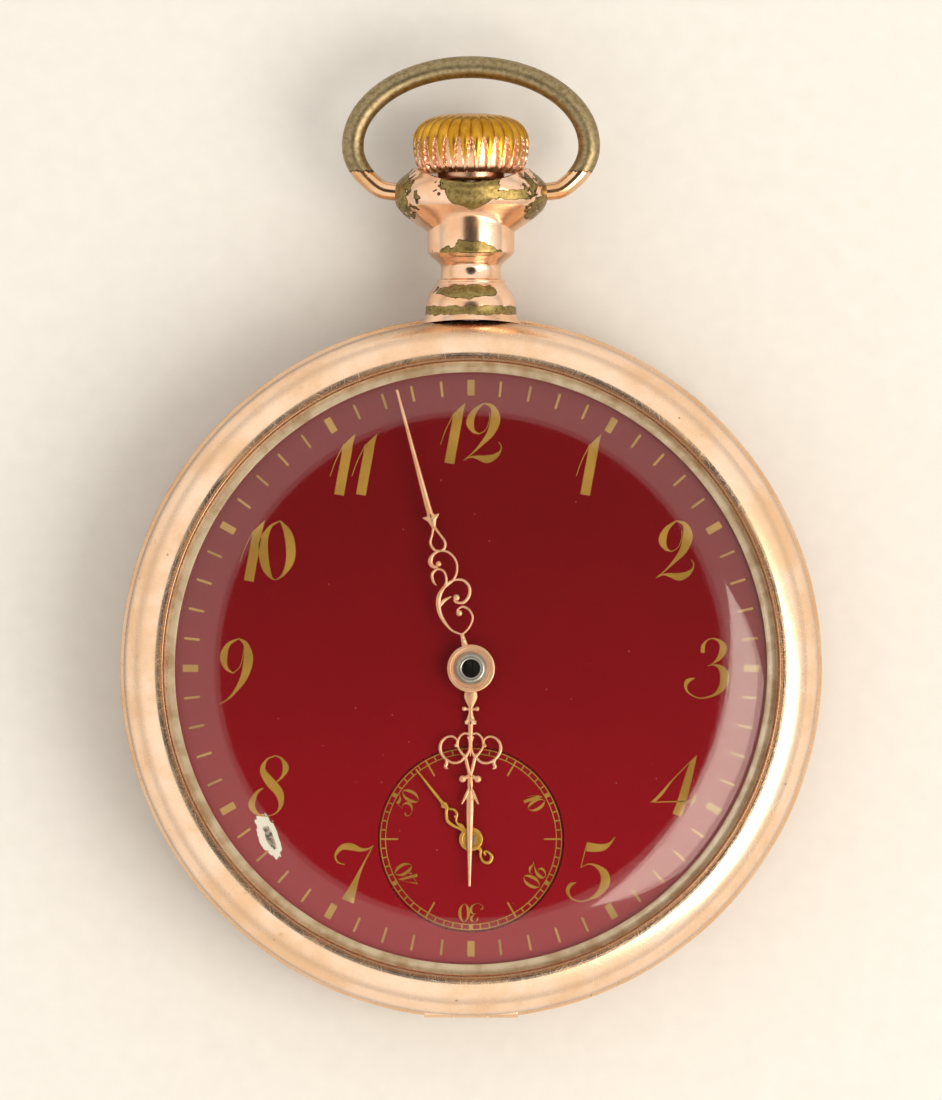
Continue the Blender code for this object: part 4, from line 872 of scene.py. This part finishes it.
gilt = gilt_paint()
PAINT = 0.025
PAINT_SECTION = np.array([(-1, -0.01), (1, -0.01), (0.9, PAINT), (-0.9, PAINT)])
PEN = {
    "0": """36 99.5 0.7, 20 90 2.4, 9 68 7, 8 45 8.2, 13 20 6.6, 25 2.5 0.9, 40 10 2.4, 51.5 32 7,
          53 56 8.2, 48 80 6.6, 36 99.5 0.7""",
    "1": """14.7 0 8.4, 18.6 22 8.4, 22.8 45 8.3, 26.2 63 8.3, 29.2 78 8, 34.6 89 4.4, 41.5 100 0.3;
          24 84 1.6, 18 74 0.8, 8.2 54 0.7, 0 31 0.6""",
    "2": """26.9 48.5 0.7, 17 54 3.4, 12 68 6.8, 19 86 4.2, 34.7 99.6 0.8; 26.9 48.5 0.7, 37.3 55.2 0.6,
          43.5 70 0.6, 44 84 0.6; 34.7 99.6 0.8, 49 93 4, 53.7 74 8.6, 46.6 51.5 6.6, 31.7 32.8 3,
          14.9 16 1, 0.7 4.9 0.8; 0.7 4.9 0.8, 13 10.4 1.2, 25 9.6 3.6, 39.2 6.9 6.6, 52.2 11.2 4.8,
          61.6 19.8 1.6, 63.4 29 0.8, 59 35.4 0.5""",
    "3": """31.3 75.5 3.4, 31.8 86 3.2, 37.5 95.3 1.2, 47.6 99.3 0.8, 59.3 94.5 3, 65.4 83.6 6.4, 60 69 4.4,
          48.4 58 1, 39.3 53.8 0.6; 40 53.8 0.6, 49 55.5 1.2, 60 51.5 4, 67.5 38 8, 64 20 6.2, 50 6 2.2,
          26.5 0.7 0.9, 8.4 9.1 1.2, 3 20 2.4, 6.5 29 3.6, 18.2 34 0.5""",
    "4": """77.5 99.5 0.5, 58 80 0.8, 37 58 1.1, 20 37 2.6, 8 25.5 2.2, 1 22.6 0.5; 1.5 22.8 0.8, 42 24 0.9,
          84.6 25 0.8; 78.5 100 0.3, 71.5 86.5 4.6, 66 68 6.2, 60.4 48 6.8, 53 22 7.6, 46 1.2 8.4;
          77 39 0.3, 73 28 3.4, 69 17 0.3""",
    "5": """34.9 91.7 8, 50.5 89.9 7, 63.3 91.2 5.4, 73.4 97.2 2.2, 82 107.7 0.5; 35.8 99 0.8, 30.4 78 0.7,
          25.1 57.4 0.7; 25.1 57.4 0.6, 37.6 62.9 0.9, 50.5 60 2.5, 63.5 48 6.8, 65.5 32 8, 56 15.6 5,
          41.3 5.5 1.6, 24.8 1.3 0.9, 10 6.4 1.4, 3.4 18.4 3, 8.2 28.8 3, 17.4 32.4 0.6""",
    "7": """18.6 62 0.5, 6.4 66.4 1.3, 3 78 1.8, 13.5 90.5 4.6, 28.8 91.5 6, 45 86.6 3.2, 57.6 88.4 1.4,
          65.4 93.9 0.5; 65.4 93.9 0.5, 50.5 66 1.4, 41 46 3, 32.5 25 6.4, 23 1.7 11""",
    "8": """47.5 100 0.8, 33 93 1.6, 26.5 76 5, 38 57 8, 52.5 40 7.4, 56.5 22 4.4, 50 6.8 1.2, 33 0 0.8,
          16.5 4.6 2.8, 8 19 5.8, 16 38 2.8, 27 46.5 0.8; 49 56 0.8, 59 66 2.4, 64.4 80 5.2, 58 94.5 2,
          47.5 100 0.8""",
    "9": """22 41.7 0.7, 11 51 3.2, 6.8 68.8 6.4, 14.6 89.2 3.4, 32.2 99.3 0.8; 22 41.7 0.6, 33.4 52 0.6,
          38.6 70 0.6, 40.7 86 0.6; 32.2 99.3 0.8, 43.5 89.2 4.4, 47.6 65.4 8.2, 40.7 36 6.2,
          25.4 11.2 2.6, 11.9 -2.4 1.1, 0 -9 0.5""",
}
STROKES = {figure: [points(stroke) for stroke in text.split(";")] for figure, text in PEN.items()}
ADVANCE = {"11": 36, "12": 37, "10": 31, "20": 68, "30": 72, "40": 80, "50": 74}
WIDTH = {"0": 60, "1": 41, "2": 64, "3": 74, "4": 84, "5": 76, "7": 65, "8": 68, "9": 54}


def stroke(points, place, height, turn, level_mm, per=8):
    """One pen stroke: a smooth line from its points, scaled to the numeral's height, turned, and moved to
    its place, with a flat section that is as wide as the stroke is there."""
    line = smooth(points, per)
    flat = line[:, :2] / 100 * height
    c, s = math.cos(turn), math.sin(turn)
    path = np.column_stack([place[0] + flat[:, 0] * c - flat[:, 1] * s,
                            place[1] + flat[:, 0] * s + flat[:, 1] * c, np.full(len(flat), level_mm)])
    return carry(path, np.maximum(line[:, 2], 0.45) / 100 * height, PAINT_SECTION)


def numeral(text, centre, height, turn, level_mm, squeeze=1.0, per=8):
    """A number of one or two figures, its middle at centre. squeeze makes the figures narrower."""
    advance = ADVANCE.get(text, 0)
    whole = advance + WIDTH[text[-1]]
    shells = []
    for i, figure in enumerate(text):
        for points in STROKES[figure]:
            moved = np.array(points, float)
            moved[:, 0] = (moved[:, 0] + i * advance - whole / 2) * squeeze
            moved[:, 1] -= 50
            shells.append(stroke(moved, centre, height, turn, level_mm, per))
    return shells


# %% Hour numerals
NUMERAL_RING, NUMERAL_HEIGHT = 16.9, 4.35
hours = []
for hour in (12, 1, 2, 3, 4, 5, 7, 8, 9, 10, 11):
    turn = math.radians(90 - 30 * hour)
    centre = (NUMERAL_RING * math.cos(turn), NUMERAL_RING * math.sin(turn))
    hours += numeral(str(hour), centre, NUMERAL_HEIGHT, 0.0, DIAL_TOP)
piece("hour_numerals", hours, "case", gilt)

# %% Minute marks and the seconds track
FLAT_SECTION = np.array([(-1, -0.01), (1, -0.01), (1, PAINT), (-1, PAINT)])


def spoke(centre, turn, inner, outer, width, level_mm):
    """A straight mark from one radius to another."""
    ahead = np.array([math.cos(turn), math.sin(turn)])
    ends = [(*(np.array(centre) + ahead * r), level_mm) for r in (inner, outer)]
    return carry(ends, width / 2, FLAT_SECTION)


def hoop(centre, r, width, level_mm, steps=240):
    """A thin flat ring."""
    section = [(r - width / 2, level_mm - 0.01), (r + width / 2, level_mm - 0.01),
               (r + width / 2, level_mm + PAINT * 0.9), (r - width / 2, level_mm + PAINT * 0.9)]
    return lathe(section, steps, centre=(*centre, 0), ring=True)


marks = [spoke((0, 0), math.radians(6 * i), 19.6, 20.72, 0.52 if i % 5 == 0 else 0.17, DIAL_TOP)
         for i in range(60)]
piece("minute_marks", marks, "case", gilt)

TRACK_OUT, TRACK_IN = SECONDS_R - 0.13, SECONDS_R - 0.5
track = [hoop(window, TRACK_OUT, 0.07, SECONDS_DIAL_TOP), hoop(window, TRACK_IN, 0.07, SECONDS_DIAL_TOP)]
for i in range(60):
    inner = TRACK_OUT - 1.27 if i % 10 == 5 else TRACK_IN
    wide = 0.3 if i % 10 == 0 else 0.12 if i % 5 == 0 else 0.09
    track.append(spoke(window, math.radians(90 - 6 * i), inner, TRACK_OUT, wide, SECONDS_DIAL_TOP + 0.001))
for i in (10, 20, 30, 40, 50):
    turn = math.radians(90 - 6 * i)
    centre = (window[0] + 5.3 * math.cos(turn), window[1] + 5.3 * math.sin(turn))
    track += numeral(str(i), centre, 1.35, turn - math.pi / 2, SECONDS_DIAL_TOP, squeeze=1.0, per=5)
piece("seconds_track", track, "case", gilt)


# %% [markdown]
# ## The hands
# Fancy scroll hands, pressed from thin gilt strip and dressed by hand: round wires that curl into
# loops and end in beads, a bell, and a long blade. Each hand is drawn along its own length: ahead goes from
# the hub to the tip, and aside to its left. Strokes are half-round strips, so each one catches the
# light along its crown, and beads are small domes.

# %% Hand finish and parts
rose_gilt = worn_metal("rose_gilt", "#FFD2B4", "#F0B892", "#A8704C", rough=(0.38, 0.48), cloud_mm=1.5,
                       scratch=0.03, pits=False)
yellow_gilt = worn_metal("yellow_gilt", "#EBC268", "#CE9E44", "#8A6628", rough=(0.38, 0.46), cloud_mm=1.5,
                         scratch=0.03, pits=False)


SPREAD = 1.3    # dressing a wire flat widens it by a third
THICK = 0.14
WIRE_SECTION = np.array([(math.cos(turn), THICK * (0.25 + 0.75 * math.sin(turn)))
                         for turn in np.linspace(0, np.pi, 10)])    # flat below, domed above


def strip(points, place, per=8, closed=False, straight=False):
    """A half-round strip through points of (ahead, aside, half width), laid where place puts them."""
    laid = np.array(points) if straight else smooth(points, per, closed=closed)
    if closed:
        laid = np.vstack([laid, laid[:2]])
    return carry(place(laid[:, 0], laid[:, 1]), laid[:, 2] * SPREAD, WIRE_SECTION)


def bead(point, place):
    """A small dome: a quarter of an ellipse turned round, on a short foot."""
    ahead, aside, r = point
    high = THICK * 1.3
    dome = [(0, 0), (r, 0), (r, 0.25 * high)]
    dome += [(r * math.cos(t), (0.25 + 0.75 * math.sin(t)) * high) for t in np.linspace(0, np.pi / 2, 7)[1:]]
    return lathe(dome, 28, centre=place(np.float64(ahead), np.float64(aside)))


def drawn(pattern, low, centre, heading):
    """The shells of one hand, from a pattern: semicolons part its pieces. A wire runs smoothly through its
    points, a rod runs straight, a loop closes, and a bead is a dome (ahead, aside, radius). A digit after the
    word sets the steps between points, and two in front repeats the piece on the hand's other side."""
    c, s = math.cos(heading), math.sin(heading)

    def place(ahead, aside):
        return np.stack([centre[0] + ahead * c - aside * s, centre[1] + ahead * s + aside * c,
                         np.full(np.shape(ahead), low)], axis=-1)

    shells = []
    for line in pattern.split(";"):
        pair, kind, numbers = re.match(r"\s*(two )?([a-z]+\d?) (.*)", line, re.DOTALL).groups()
        for side in (1, -1) if pair else (1,):
            made = [(ahead, side * aside, size) for ahead, aside, size in points(numbers)]
            if kind == "bead":
                shells.append(bead(made[0], place))
            else:
                per = int(kind[-1]) if kind[-1].isdigit() else 8
                shells.append(strip(made, place, per, kind == "loop", kind == "rod"))
    return shells


def hub_ring(centre, low, outer, inner):
    """The boss of a hand: a ring with a rounded top and a sunk step inside."""
    ring = rounded([(inner, low), (inner, low + THICK * 0.55), (inner + 0.12, low + THICK * 0.6),
                    (outer - 0.34, low + THICK * 0.6), (outer - 0.28, low + THICK * 1.15),
                    (outer - 0.06, low + THICK * 1.15), (outer, low + THICK * 0.9), (outer, low)],
                   blend=0.06, closed=True)
    return lathe(ring, 96, centre=(*centre, 0), ring=True)


# %% Minute hand
MINUTE_PATTERN = """
    bead 2.05 0 0.2;
    bead 2.32 0 0.16;
    rod 1.6 0 0.2, 2.6 0 0.1;
    wire 2.5 0 0.06, 3.1 0.7 0.07, 4.3 1.13 0.12, 5.4 0.98 0.14, 6.1 0.4 0.1, 6.42 -0.3 0.07,
        6.3 -1.02 0.08, 5.75 -1.38 0.09, 5.1 -1.22 0.1, 4.72 -0.72 0.09, 4.85 -0.2 0.07, 5.1 -0.08 0.06;
    wire 2.5 0 0.06, 2.85 -0.6 0.06, 3.45 -1.04 0.07, 4.05 -0.98 0.07, 4.42 -0.6 0.07, 4.35 -0.2 0.06,
        4.15 -0.08 0.06;
    wire 4.9 1.02 0.09, 5.2 0.6 0.1, 5.35 0.05 0.05;
    wire 5.9 0.55 0.08, 6.5 0.1 0.08, 7.2 0.08 0.07, 7.5 0.5 0.07, 7.25 0.95 0.09, 6.7 1 0.08,
        6.4 0.86 0.04;
    wire 6.1 0.3 0.06, 6.5 -0.45 0.07, 7.1 -0.86 0.07, 7.8 -0.93 0.07, 8.45 -0.6 0.07, 8.72 -0.05 0.07,
        8.6 0.5 0.09, 8.2 0.84 0.14, 7.8 0.78 0.12, 7.62 0.42 0.07;
    loop 8.72 -0.05 0.07, 8.9 0.35 0.08, 9.45 0.5 0.08, 10 0.22 0.07, 10.45 -0.03 0.09, 9.95 -0.28 0.07,
        9.3 -0.52 0.08, 8.85 -0.4 0.08;
    bead 5.18 -0.3 0.24;
    bead 4.05 -0.2 0.23;
    bead 7.85 0.32 0.21;
    wire6 10.35 -0.03 0.1, 10.8 -0.03 0.2, 11.15 -0.03 0.3, 11.45 -0.03 0.2;
    wire 10.95 0 0.14, 11.2 -0.37 0.12, 11.32 -0.63 0.03;
    wire 10.95 0 0.14, 11.2 0.31 0.12, 11.32 0.57 0.03;
    rod 11.2 -0.02 0.18, 12.2 0 0.17, 16 0 0.12, 20.7 0 0.07"""
HEADINGS = {"minute": math.radians(104.9), "hour": math.radians(-90.4), "seconds": math.radians(128.2)}
minute = [hub_ring((0, 0), level("minute_hand", top=False), 1.72, 0.6)]
minute += drawn(MINUTE_PATTERN, level("minute_hand", top=False), (0, 0), HEADINGS["minute"])
piece("minute_hand_gilt", minute, "centre_group", rose_gilt, ["minute_hand"], sharp=60)

# %% Hour hand
HOUR_PATTERN = """
    wire 1.45 0 0.24, 1.75 0 0.34, 2.1 0 0.36, 2.5 0 0.24, 2.75 0 0.14;
    wire 2.65 0 0.13, 3.2 0 0.13, 3.6 0 0.22, 3.95 0 0.32, 4.02 0 0.3;
    two bead 2.9 -0.46 0.18;
    two bead 7.95 -0.55 0.26;
    two bead 5.55 -1.02 0.15;
    two rod 2.95 0 0.08, 2.9 -0.46 0.08;
    two rod 3.55 0 0.1, 3.9 0.38 0.08;
    rod 3.8 0 0.15, 4.8 0 0.13, 5.6 0 0.08, 6.3 0 0.03;
    two wire 4.75 0.05 0.07, 4.68 0.45 0.07, 5 0.82 0.07, 5.6 0.9 0.07, 6.1 0.62 0.08, 6.4 0.36 0.1,
        7.1 0.18 0.1, 7.75 0.02 0.09;
    two wire 6.35 0.32 0.1, 5.9 0.1 0.07, 5.3 0.08 0.06, 4.9 0.2 0.05;
    two wire 6.3 0.34 0.08, 6.72 0.75 0.08, 6.78 1.3 0.08, 6.45 1.85 0.08, 5.9 2.16 0.1, 5.35 2.1 0.09,
        4.98 1.75 0.07, 4.9 1.3 0.07, 5.15 0.98 0.06, 5.5 1 0.06;
    two wire5 6.45 1.8 0.05, 6.8 1.7 0.1, 7.08 1.78 0.1, 7.22 1.6 0.04;
    wire 7.95 -0.55 0.1, 7.75 0 0.12, 7.95 0.55 0.1;
    wire 7.4 0 0.1, 8.3 0 0.16, 8.8 0 0.12;
    two wire 8.5 0.03 0.07, 9.1 0.28 0.1, 9.75 0.6 0.05;
    two wire5 9.72 0.6 0.04, 9.35 0.4 0.06, 9.4 0.12 0.08;
    rod 8.3 0 0.1, 9.3 0 0.2, 10.2 0 0.2, 13 0 0.14, 15.65 0 0.07"""
hour = [hub_ring((0, 0), level("hour_hand", top=False), 1.62, 1.0)]
hour += drawn(HOUR_PATTERN, level("hour_hand", top=False), (0, 0), HEADINGS["hour"])
piece("hour_hand_gilt", hour, "hour_group", rose_gilt, ["hour_hand"], sharp=60)

# %% Seconds hand
SECONDS_PATTERN = """
    wire 0.75 0.05 0.1, 1.17 0.2 0.08, 1.6 0.42 0.09, 2.1 0.5 0.1, 2.55 0.25 0.09, 2.85 -0.02 0.12,
        3.15 0 0.2, 3.3 0 0.1;
    wire 0.75 0 0.1, 1.15 -0.06 0.12, 1.5 0.06 0.07, 1.8 -0.05 0.07, 2.05 -0.34 0.08, 2.4 -0.36 0.08,
        2.65 -0.16 0.07, 2.85 -0.02 0.07;
    rod 3.2 0 0.13, 3.4 0 0.1, 4.8 0 0.08, 6.4 0 0.05;
    wire -0.75 -0.02 0.14, -1.05 -0.05 0.1, -1.35 0.2 0.08, -1.8 0.3 0.08, -2.12 0.02 0.09,
        -1.95 -0.38 0.1, -1.55 -0.42 0.07, -1.3 -0.25 0.06, -1.45 -0.08 0.07;
    bead 2 -0.12 0.1;
    bead -1.5 -0.12 0.09"""
second = [hub_ring(window, level("seconds_hand", top=False), 0.86, 0.3)]
second += drawn(SECONDS_PATTERN, level("seconds_hand", top=False), window, HEADINGS["seconds"])
piece("seconds_hand_gilt", second, "seconds_group", yellow_gilt, ["seconds_hand"], sharp=60)


# %% [markdown]
# ## Steel, nickel, brass and rubies
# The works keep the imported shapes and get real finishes. Plates are nickel-plated and grained, wheels
# are gilt brass brushed in circles, arbors and screws are polished steel, the click spring and the hairspring
# are blued, and the pallet stones are synthetic ruby. Brushed metal is noise drawn out along one direction.

# %% Finishes of the works
def brushed(name, colour, deep, rough, line_mm=0.08, turn=0.0):
    """Metal with a straight grain: noise is line_mm fine across and forty times longer along."""
    material, tree, shader, place = start(name)
    moved = add(tree, "Mapping", {"Vector": place, "Rotation": (0, 0, turn),
                                  "Scale": (per_mm(line_mm), per_mm(line_mm * 40), per_mm(line_mm * 4))})
    grain = add(tree, "TexNoise", {"Vector": moved, "Scale": 1.0, "Detail": 3.0})
    clouds = add(tree, "TexNoise", {"Vector": place, "Scale": per_mm(3.0), "Detail": 3.0})
    drift = add(tree, "MapRange", {0: clouds, 1: 0.35, 2: 0.7}, **EASED)
    haze = add(tree, "MapRange", {0: grain, 1: 0.3, 2: 0.7, 3: rough[0], 4: rough[1]}, **EASED)
    bump = add(tree, "Bump", {"Height": grain, "Strength": 0.3, "Distance": 0.006 * MM})
    feed(tree, shader, {"Base Color": add(tree, "Mix", {0: drift, 6: colour, 7: deep}, **COLOURS),
                        "Roughness": haze, "Normal": bump, "Metallic": 1.0})
    return material


gilt_brass = brushed("gilt_brass", "#E6C27A", "#C99E52", (0.22, 0.38))
nickel = brushed("nickel_plate", "#D8D4CA", "#BDB8AC", (0.2, 0.36), line_mm=0.12, turn=0.6)
steel = brushed("polished_steel", "#DAD9D4", "#B4B2AE", (0.28, 0.4), line_mm=0.05)
blued = brushed("blued_steel", "#27408C", "#182860", (0.14, 0.26), line_mm=0.05)


def ruby_stone():
    """Synthetic ruby: clear deep pink-red, polished, index 1.76, a little cloudy inside."""
    material, tree, shader, place = start("ruby_stone")
    cloud = add(tree, "TexNoise", {"Vector": place, "Scale": per_mm(0.5), "Detail": 2.0})
    feed(tree, shader, {"Base Color": add(tree, "Mix", {0: cloud, 6: "#C01840", 7: "#7C0A28"}, **COLOURS),
                        "IOR": 1.76, "Roughness": 0.06, "Transmission Weight": 0.5})
    return material


ruby = ruby_stone()
FINISHES = {"rose_gold": rose_gold, "yellow_gold": yellow_gold, "gilt_brass": gilt_brass, "nickel": nickel,
            "steel": steel, "blued_steel": blued, "red_enamel": dial_enamel, "hand_gold": rose_gilt,
            "crystal_glass": glass, "ruby": ruby}

# %% Dress the pieces that stay
dressed = 0
for name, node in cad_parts.items():
    if node.hide_render:
        continue
    for slot in node.material_slots:
        slot.material = FINISHES[slot.material.name.split(".")[0]]
    dressed += 1
print(dressed, "pieces of the works dressed")


# %% [markdown]
# ## The steel centre
# Over the minute hand's boss stands the top of the cannon pinion: a bright steel ring round the centre
# arbor's end, which is black with old oil.

# %% Cannon pinion's top
pin_top = level("cannon_pinion")
boss_top = level("minute_hand") + 0.02
ring = rounded([(0.6, boss_top - 0.3), (0.6, pin_top - 0.1), (0.7, pin_top + 0.02), (0.92, pin_top + 0.02),
                (1.17, pin_top - 0.2), (1.17, boss_top - 0.3)], blend=0.06, closed=True)
piece("cannon_pinion_top", [lathe(ring, 96, ring=True)], "centre_group", steel)
old_oil = brushed("blackened_steel", "#3A3833", "#1E1C1A", (0.25, 0.5), line_mm=0.05)
end_cap = [(0, pin_top - 0.05), (0.62, pin_top - 0.05), (0.62, pin_top + 0.004), (0, pin_top + 0.004)]
piece("centre_arbor_end", [lathe(end_cap, 64)], "centre_group", old_oil)


# %% [markdown]
# ## Stage, light and camera
# A pale floor and a soft tent of light. The tent is open only at the top, where the camera looks in, so
# polished gold mirrors a bright wall, and the flat glass and dial mirror the dark opening and stay clear.
# One large soft lamp from the right gives the hands a faint shadow.

# %% Floor
floor_mesh = bpy.data.meshes.new("floor")
reach = 1.5
floor_mesh.from_pydata([(-reach, -reach, -0.0001), (reach, -reach, -0.0001), (reach, reach, -0.0001),
                        (-reach, reach, -0.0001)], [], [(0, 1, 2, 3)])
floor = bpy.data.objects.new("floor", floor_mesh)
bpy.context.scene.collection.objects.link(floor)
paper, paper_tree, paper_shader, paper_place = start("paper")
fibre = add(paper_tree, "TexNoise", {"Vector": paper_place, "Scale": per_mm(1.5), "Detail": 4.0})
pale = add(paper_tree, "Mix", {0: fibre, 6: "#D9D7D2", 7: "#E2E0DC"}, **COLOURS)
feed(paper_tree, paper_shader, {"Base Color": pale, "Roughness": 0.9})
floor_mesh.materials.append(paper)

# %% Light
world = bpy.data.worlds.new("light_tent")
bpy.context.scene.world = world
world.use_nodes = True
sky = world.node_tree
sky.nodes.clear()
up = add(sky, "SeparateXYZ", {0: add(sky, "TexCoord").outputs["Generated"]}).outputs[2]
OPENING = math.cos(math.radians(20.5))
walls = add(sky, "MapRange", {0: up, 1: OPENING - 0.004, 2: OPENING + 0.004, 3: 1.12, 4: 0.05}, **EASED)
lower = add(sky, "MapRange", {0: up, 1: -0.1, 2: 0.5, 3: 0.55, 4: 1.0}, **EASED)
strength = add(sky, "Math", {0: walls, 1: lower}, **TIMES)
light = add(sky, "Background", {"Color": "#FFF9F0", "Strength": strength})
add(sky, "OutputWorld", {"Surface": light})


def lamp(name, place, aim, size, power, colour):
    """A square soft lamp at a place, turned to face a point; all in millimetres, power in watts."""
    data = bpy.data.lights.new(name, "AREA")
    data.size = size * MM
    data.energy = power
    data.color = linear(colour)[:3]
    made = bpy.data.objects.new(name, data)
    bpy.context.scene.collection.objects.link(made)
    made.location = np.array(place) * MM
    away = Vector((np.array(place) - np.array(aim)) * MM)
    made.rotation_euler = away.to_track_quat("Z", "Y").to_euler()
    return made


lamp("soft_lamp", (420, -180, 520), (0, 8, 8), 480, 3.2, "#FFF4E6")

# %% Camera
VIEW_CENTRE, VIEW_HEIGHT, DISTANCE, SUBJECT_LEVEL = (0.0, 8.5), 79.2, 900.0, 8.0
camera_data = bpy.data.cameras.new("camera")
camera_data.sensor_fit = "VERTICAL"
camera_data.sensor_height = 36.0
camera_data.lens = 36.0 * DISTANCE / VIEW_HEIGHT
camera_data.clip_start, camera_data.clip_end = 0.01, 20.0
camera = bpy.data.objects.new("camera", camera_data)
bpy.context.scene.collection.objects.link(camera)
camera.location = np.array([*VIEW_CENTRE, SUBJECT_LEVEL + DISTANCE]) * MM
bpy.context.scene.camera = camera
bpy.context.scene.view_settings.view_transform = "Standard"
print(f"lens {camera_data.lens:.0f} mm at {DISTANCE:.0f} mm")

# %% Finish
bpy.context.view_layer.update()
